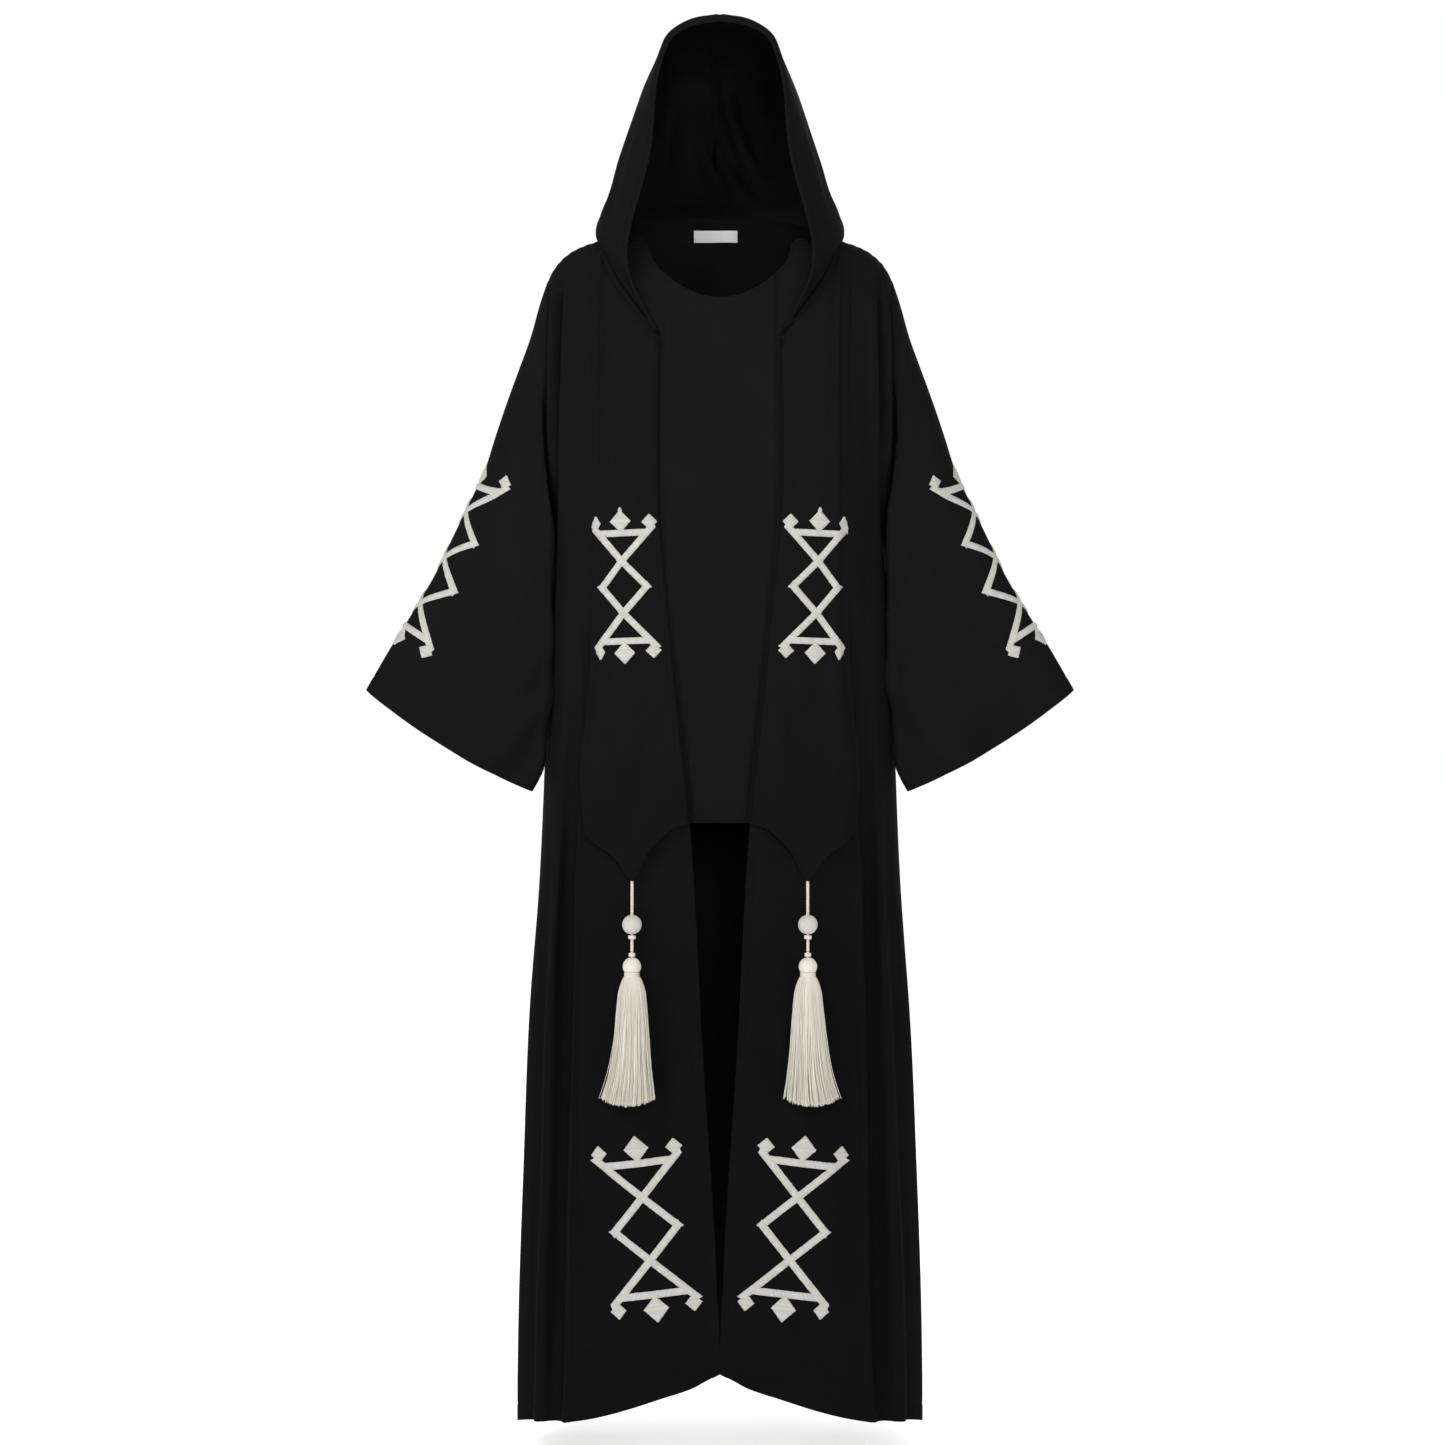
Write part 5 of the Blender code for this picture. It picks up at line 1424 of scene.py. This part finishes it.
def dress():
    """Every cloth piece, with its creases, hems, seams and stitches. Returns charts of them."""
    crepe = crepe_material("black_crepe", CREPE_GREY)
    # A darker copy of the same crepe: painted shade on the fronts, hood and overlays
    shaded_crepe = crepe_material("black_crepe_painted_shade", SHADED_CREPE_GREY)
    black_thread = thread_material(
        "black_thread", (THREAD_GREY,) * 3, 0.15, 0.75, 2200.0, DULL, 0.0)
    charts = {}
    lines = []
    front, back, sleeve, hood = joined_panels()
    for name, side in HALVES:
        sheet = front.sided(side)
        front_cloth(sheet, name, side)
        charts["front_" + name] = Chart(sheet, front_places(sheet))
        lines += stitched(sheet, FRONT_HEMS)
        dressed("front_" + name, sheet, shaded_crepe)

        sheet = sleeve.sided(side)
        creased(sheet, sleeve_places(sheet), "sleeve_" + name, ("bottom",))
        hem(sheet, "top", CUFF_HEM)
        arm_seam(sheet, "bottom")
        charts["sleeve_" + name] = Chart(sheet, sleeve_places(sheet))
        lines += stitched(sheet, [("top", CUFF_HEM)], 0.0)
        dressed("sleeve_" + name, sheet, crepe)

        sheet = hood.sided(side)
        hood_cloth(sheet, name)
        lines += stitched(sheet, [("start", HOOD_HEM)])
        dressed("hood_" + name, sheet, shaded_crepe)

        sheet = stole_panel().sided(side)
        stole_cloth(sheet, name)
        charts["stole_" + name] = Chart(sheet, front_places(sheet))
        lines += stitched(sheet, STOLE_HEMS)
        dressed("stole_" + name, sheet, shaded_crepe)

    flat = front_places(back)
    creased(back, flat, "back", ("start", "end", "top"))
    swayed(back, flat, 17)
    hem(back, "bottom", SKIRT_HEM)
    arm_seam(back, "start")
    arm_seam(back, "end")
    seam(back, "top", neck_dip(back))
    charts["back_inside"] = Chart(back, front_places(back), inside=True)
    lines += stitched(back, [("bottom", SKIRT_HEM)])
    dressed("back", back, crepe)

    sheet = inner_front()
    beyond = np.abs(sheet.points[..., 0]) - along(FRONT_EDGES, -sheet.points[..., 2])
    sheet.moved(INNER_RISE * (1 - ramp(beyond, *INNER_RISE_END)))
    for edge in (("bottom", INNER_HEM_WIDTH), ("top", INNER_HEM_WIDTH)):
        hemmed(sheet, [edge])
        lines += stitched(sheet, [edge])
    dressed("inner_panel", sheet, crepe)

    paths, normals = (np.concatenate(column) for column in zip(*lines))
    tubes("hem_stitches", paths, normals, STITCH_RADIUS, 4, black_thread, "black_crepe")
    return charts


def on_line(top, drop):
    """Points of the tassel's centre line, which leans forward, at drops below its top."""
    return top + coordinates(0.0, -TASSEL_LEAN * np.asarray(drop), -np.asarray(drop))


def ball_core(name, top, drop, radius, upper, lower, finish):
    """The body of a ball under its threads, round the centre line."""
    radius = radius - CORE_INSET
    around = 2 * np.pi * np.arange(CORE_SIDES) / CORE_SIDES
    rings = [on_line(top, drop - radius * math.cos(turn))
             + radius * math.sin(turn) * coordinates(np.cos(around), np.sin(around), 0.0)
             for turn in np.linspace(upper, np.pi - lower, CORE_ROWS)]
    place = np.arange(len(rings) * CORE_SIDES).reshape(len(rings), CORE_SIDES)
    after = np.roll(place, -1, axis=1)
    faces = np.stack((place[:-1], place[1:], after[1:], after[:-1]), axis=-1).reshape(-1, 4)
    make_mesh(name, np.concatenate(rings), faces, finish)


def winding(name, top, low, high, radius_at, turns, slope, thick, thread):
    """One thread wound round the tassel's centre line between two drops."""
    share = np.linspace(0, 1, int(turns * 16))
    turn = 2 * np.pi * turns * share
    drop = low + (high - low) * share + slope * np.sin(turn)
    outward = coordinates(np.cos(turn), np.sin(turn), 0.0)
    path = on_line(top, drop) + outward * radius_at(drop)[:, None]
    tubes(name, [path], [outward], thick, 8, thread)


def ball_threads(top, drop, radius, hole, count):
    """Threads laid side by side over a ball, from hole to hole, each turned a little."""
    first = math.asin(hole / radius)
    down = np.linspace(first, np.pi - first, BALL_STEPS)
    turn = (2 * np.pi * np.arange(count)[:, None] / count
            + BALL_TURN * (down - first) / (np.pi - 2 * first))
    ways = coordinates(np.sin(down) * np.cos(turn), np.sin(down) * np.sin(turn), np.cos(down))
    return on_line(top, drop) + ways * (radius - BALL_THREAD), ways


def tassel(name, side, top, thread, bead_thread):
    """Twisted cord, wrapped bead, collar, knot, wrapped head and a skirt of fine strands."""
    stem = HEAD_DROP - HEAD_RADIUS + 0.002
    share = np.linspace(0, 1, CORD_STEPS)
    turn = 2 * np.pi * share * stem / CORD_TWIST + np.pi * np.arange(2)[:, None]
    ways = coordinates(np.cos(turn), np.sin(turn), 0.0)
    paths = on_line(top, stem * share) + ways * STEM_RADIUS * PLY_AT
    cord = tubes("tassel_cord_" + name, paths, ways, STEM_RADIUS * PLY_RADIUS, 8, thread)
    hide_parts("tassel_" + name)

    threads = ball_threads(top, BEAD_DROP, BEAD_RADIUS, STEM_RADIUS + 0.0003, BEAD_THREADS)
    bead = tubes("wrapped_bead_" + name, *threads, BEAD_THREAD, 6, bead_thread)
    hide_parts("bead_" + name)
    ball_core("bead_core_" + name, top, BEAD_DROP, BEAD_RADIUS, 0.22, 0.22, bead_thread)

    for part, middle, radius in (("collar", COLLAR_DROP, COLLAR_RADIUS),
                                 ("knot", KNOT_DROP, KNOT_RADIUS)):
        winding(part + "_" + name, top, middle - WINDING_HALF, middle + WINDING_HALF,
                lambda drop: radius - WINDING_INSET - WINDING_BULGE * (drop - middle) ** 2,
                WINDING_TURNS, WINDING_RISE, WINDING_THREAD, thread)

    threads = ball_threads(top, HEAD_DROP, HEAD_RADIUS, STEM_RADIUS, HEAD_THREADS)
    tubes("tassel_head_" + name, *threads, HEAD_THREAD, 6, thread)
    ball_core("head_core_" + name, top, HEAD_DROP, HEAD_RADIUS, 0.20, 0.50, thread)
    winding("neck_binding_" + name, top, NECK_DROP - BINDING_ABOVE, NECK_DROP + BINDING_BELOW,
            lambda drop: np.full_like(drop, NECK_RADIUS - BINDING_INSET),
            BINDING_TURNS, BINDING_RISE, BINDING_THREAD, thread)

    dice = np.random.default_rng(41 + side)
    paths, normals, thick = [], [], []
    falls = np.linspace(0, 1, STRAND_STEPS) ** 1.3
    spreads = np.array(SPREADS)
    for strand in range(STRANDS):
        reach_out = math.sqrt((strand + 0.5) / STRANDS)
        turn = strand * math.pi * (3 - math.sqrt(5))
        aside, deep = reach_out * math.cos(turn), reach_out * math.sin(turn)
        ends = 1.0 - STRAND_ARC * aside ** 2 - abs(dice.normal(0, STRAND_UNEVEN))
        fall = spreads[-1, 0] * falls * ends
        spread = hermite(spreads[:, 0], spreads[:, 1:], fall) * (aside, deep)
        wander = np.cumsum(dice.normal(0, STRAND_LOOSE, (STRAND_STEPS, 2)), axis=0)
        flare = coordinates(side * STRAND_FLARE * falls ** 4, 0.0)
        spread = spread + STRAND_WANDER * wander * falls[:, None] + flare
        paths.append(on_line(top, NECK_DROP + fall) + coordinates(*spread.T, 0.0))
        normals.append(np.tile((math.cos(turn), math.sin(turn), 0.1), (STRAND_STEPS, 1)))
        thinner = 1 - STRAND_TAPER * falls ** 4
        thick.append(STRAND_RADIUS * dice.uniform(*STRAND_THICK) * thinner)
    tubes("tassel_strands_" + name, paths, normals, thick, 4, thread)


def label(chart, tape, thread):
    """Blank satin tape on the inside of the back, folded under and stitched at its ends."""
    wide, high = LABEL_SIZE
    across = np.linspace(-0.5, 0.5, 45) * wide
    up = np.linspace(-0.5, 0.5, 15) * high
    flat = np.stack(np.meshgrid(across, up), axis=-1) + LABEL_MIDDLE
    edge = np.min(np.array(LABEL_SIZE) / 2 - np.abs(flat - LABEL_MIDDLE), axis=-1)
    bow = np.sin(np.pi * (flat[..., 0] / wide + 0.5)) - bell(edge, LABEL_EDGE)
    points, normals = chart.on(flat, LABEL_THICK + LABEL_LIFT + LABEL_BOW * bow)
    facing = np.cross(points[0, 1] - points[0, 0], points[1, 0] - points[0, 0]) @ normals[0, 0]
    sheet = Sheet(points, -1 if facing < 0 else 1)
    sheet.normals = normals
    sheet.thickness = np.full(points.shape[:2], LABEL_THICK)
    made = cloth_piece("neck_label_tape", sheet, tape, "neck_label")
    stitches = []
    for end in (-1, 1):
        for step in np.arange(-0.42, 0.43, 0.12):
            spot = np.array(LABEL_MIDDLE) + (end * (wide / 2 - STITCH_IN), step * high)
            stitches.append([spot + (0.0, up) for up in (-LABEL_STITCH, 0.0, LABEL_STITCH)])
    paths, ways = chart.on(stitches, LABEL_STITCH_LIFT)
    tubes("label_stitches", paths, ways, LABEL_STITCH_RADIUS, 4, thread, "white_satin")


def studio():
    """Pale floor and soft white light from all sides."""
    bpy.context.scene.view_settings.view_transform = "Standard"
    world = bpy.data.worlds.new("studio")
    bpy.context.scene.world = world
    world.use_nodes = True
    nodes, link = world.node_tree.nodes, world.node_tree.links.new
    parts = nodes.new("ShaderNodeSeparateXYZ")
    link(nodes.new("ShaderNodeTexCoord").outputs["Generated"], parts.inputs["Vector"])
    aside = put(nodes.new("ShaderNodeMath"), operation="ABSOLUTE")
    link(parts.outputs["Y"], aside.inputs[0])
    dimmed = put(nodes.new("ShaderNodeMapRange"), interpolation_type="SMOOTHSTEP", From_Min=0.75,
                 From_Max=0.95, To_Min=SIDE_SKY, To_Max=1.0)
    link(aside.outputs[0], dimmed.inputs["Value"])
    link(dimmed.outputs["Result"], nodes["Background"].inputs["Strength"])
    put(nodes["Background"], Color=(1.0, 1.0, 1.0, 1.0))

    turn = 2 * np.pi * np.arange(FLOOR_SIDES) / FLOOR_SIDES
    rim = coordinates(FLOOR_RADIUS * np.cos(turn), FLOOR_RADIUS * np.sin(turn), FLOOR_HEIGHT)
    mesh = bpy.data.meshes.new("floor")
    mesh.from_pydata(rim.tolist(), [], [tuple(range(FLOOR_SIDES))])
    paint = Paint("pale_floor", (0.90, 0.90, 0.90), 0.9, 0.0)
    put(paint.shader, Emission_Color=(1.0, 1.0, 1.0, 1.0), Emission_Strength=FLOOR_GLOW)
    mesh.materials.append(paint.made)
    floor = bpy.data.objects.new("floor", mesh)
    bpy.context.collection.objects.link(floor)

    for name, place, size, power in LIGHTS:
        lamp = bpy.data.lights.new(name, "AREA")
        lamp.shape = "RECTANGLE"
        lamp.size, lamp.size_y = size
        lamp.energy = power
        made = bpy.data.objects.new(name, lamp)
        made.location = place
        way = Vector(LIGHT_AIM) - Vector(place)
        made.rotation_euler = way.to_track_quat("-Z", "Y").to_euler()
        bpy.context.collection.objects.link(made)


def camera():
    """Level, straight on, at the photo's distance and framing."""
    data = bpy.data.cameras.new("photo_camera")
    data.sensor_width = SENSOR
    data.lens = SENSOR * abs(CAMERA_PLACE[1]) / (PIXEL * PHOTO_SIDE)
    data.clip_end = 200.0
    made = bpy.data.objects.new("photo_camera", data)
    made.location = CAMERA_PLACE
    made.rotation_euler = (math.pi / 2, 0.0, 0.0)
    bpy.context.collection.objects.link(made)
    bpy.context.scene.camera = made


camera()
studio()
charts = dress()
ivory = thread_material("ivory_embroidery", IVORY, 0.12, 0.62, 1800.0)
thread = thread_material("ivory_thread", TASSEL_IVORY, 0.06, 0.55, 1500.0)
bead_thread = thread_material("ivory_bead_thread", BEAD_IVORY, 0.06, 0.55, 1500.0)
tape = satin_material("white_satin", TAPE_WHITE)
for name, side in HALVES:
    for part, motif, panel, way, seed in (("chest", CHEST_MOTIF, "stole", side, 3),
                                          ("skirt", SKIRT_MOTIF, "front", side, 7),
                                          ("sleeve", SLEEVE_MOTIF, "sleeve", 1, 23)):
        ends = part + "_" + name
        embroidery("embroidery_" + ends, motif, charts[panel + "_" + name], way, seed + side,
                   ivory, "motif_" + ends)
_, tip, tip_normal = stole_base()
top = tip - tip_normal * CAD_CLOTH / 2 - (0.0, 0.0, 0.0003)
for name, side in HALVES:
    tassel(name, side, top * (side, 1, 1), thread, bead_thread)
label(charts["back_inside"], tape, thread)

bpy.context.view_layer.update()
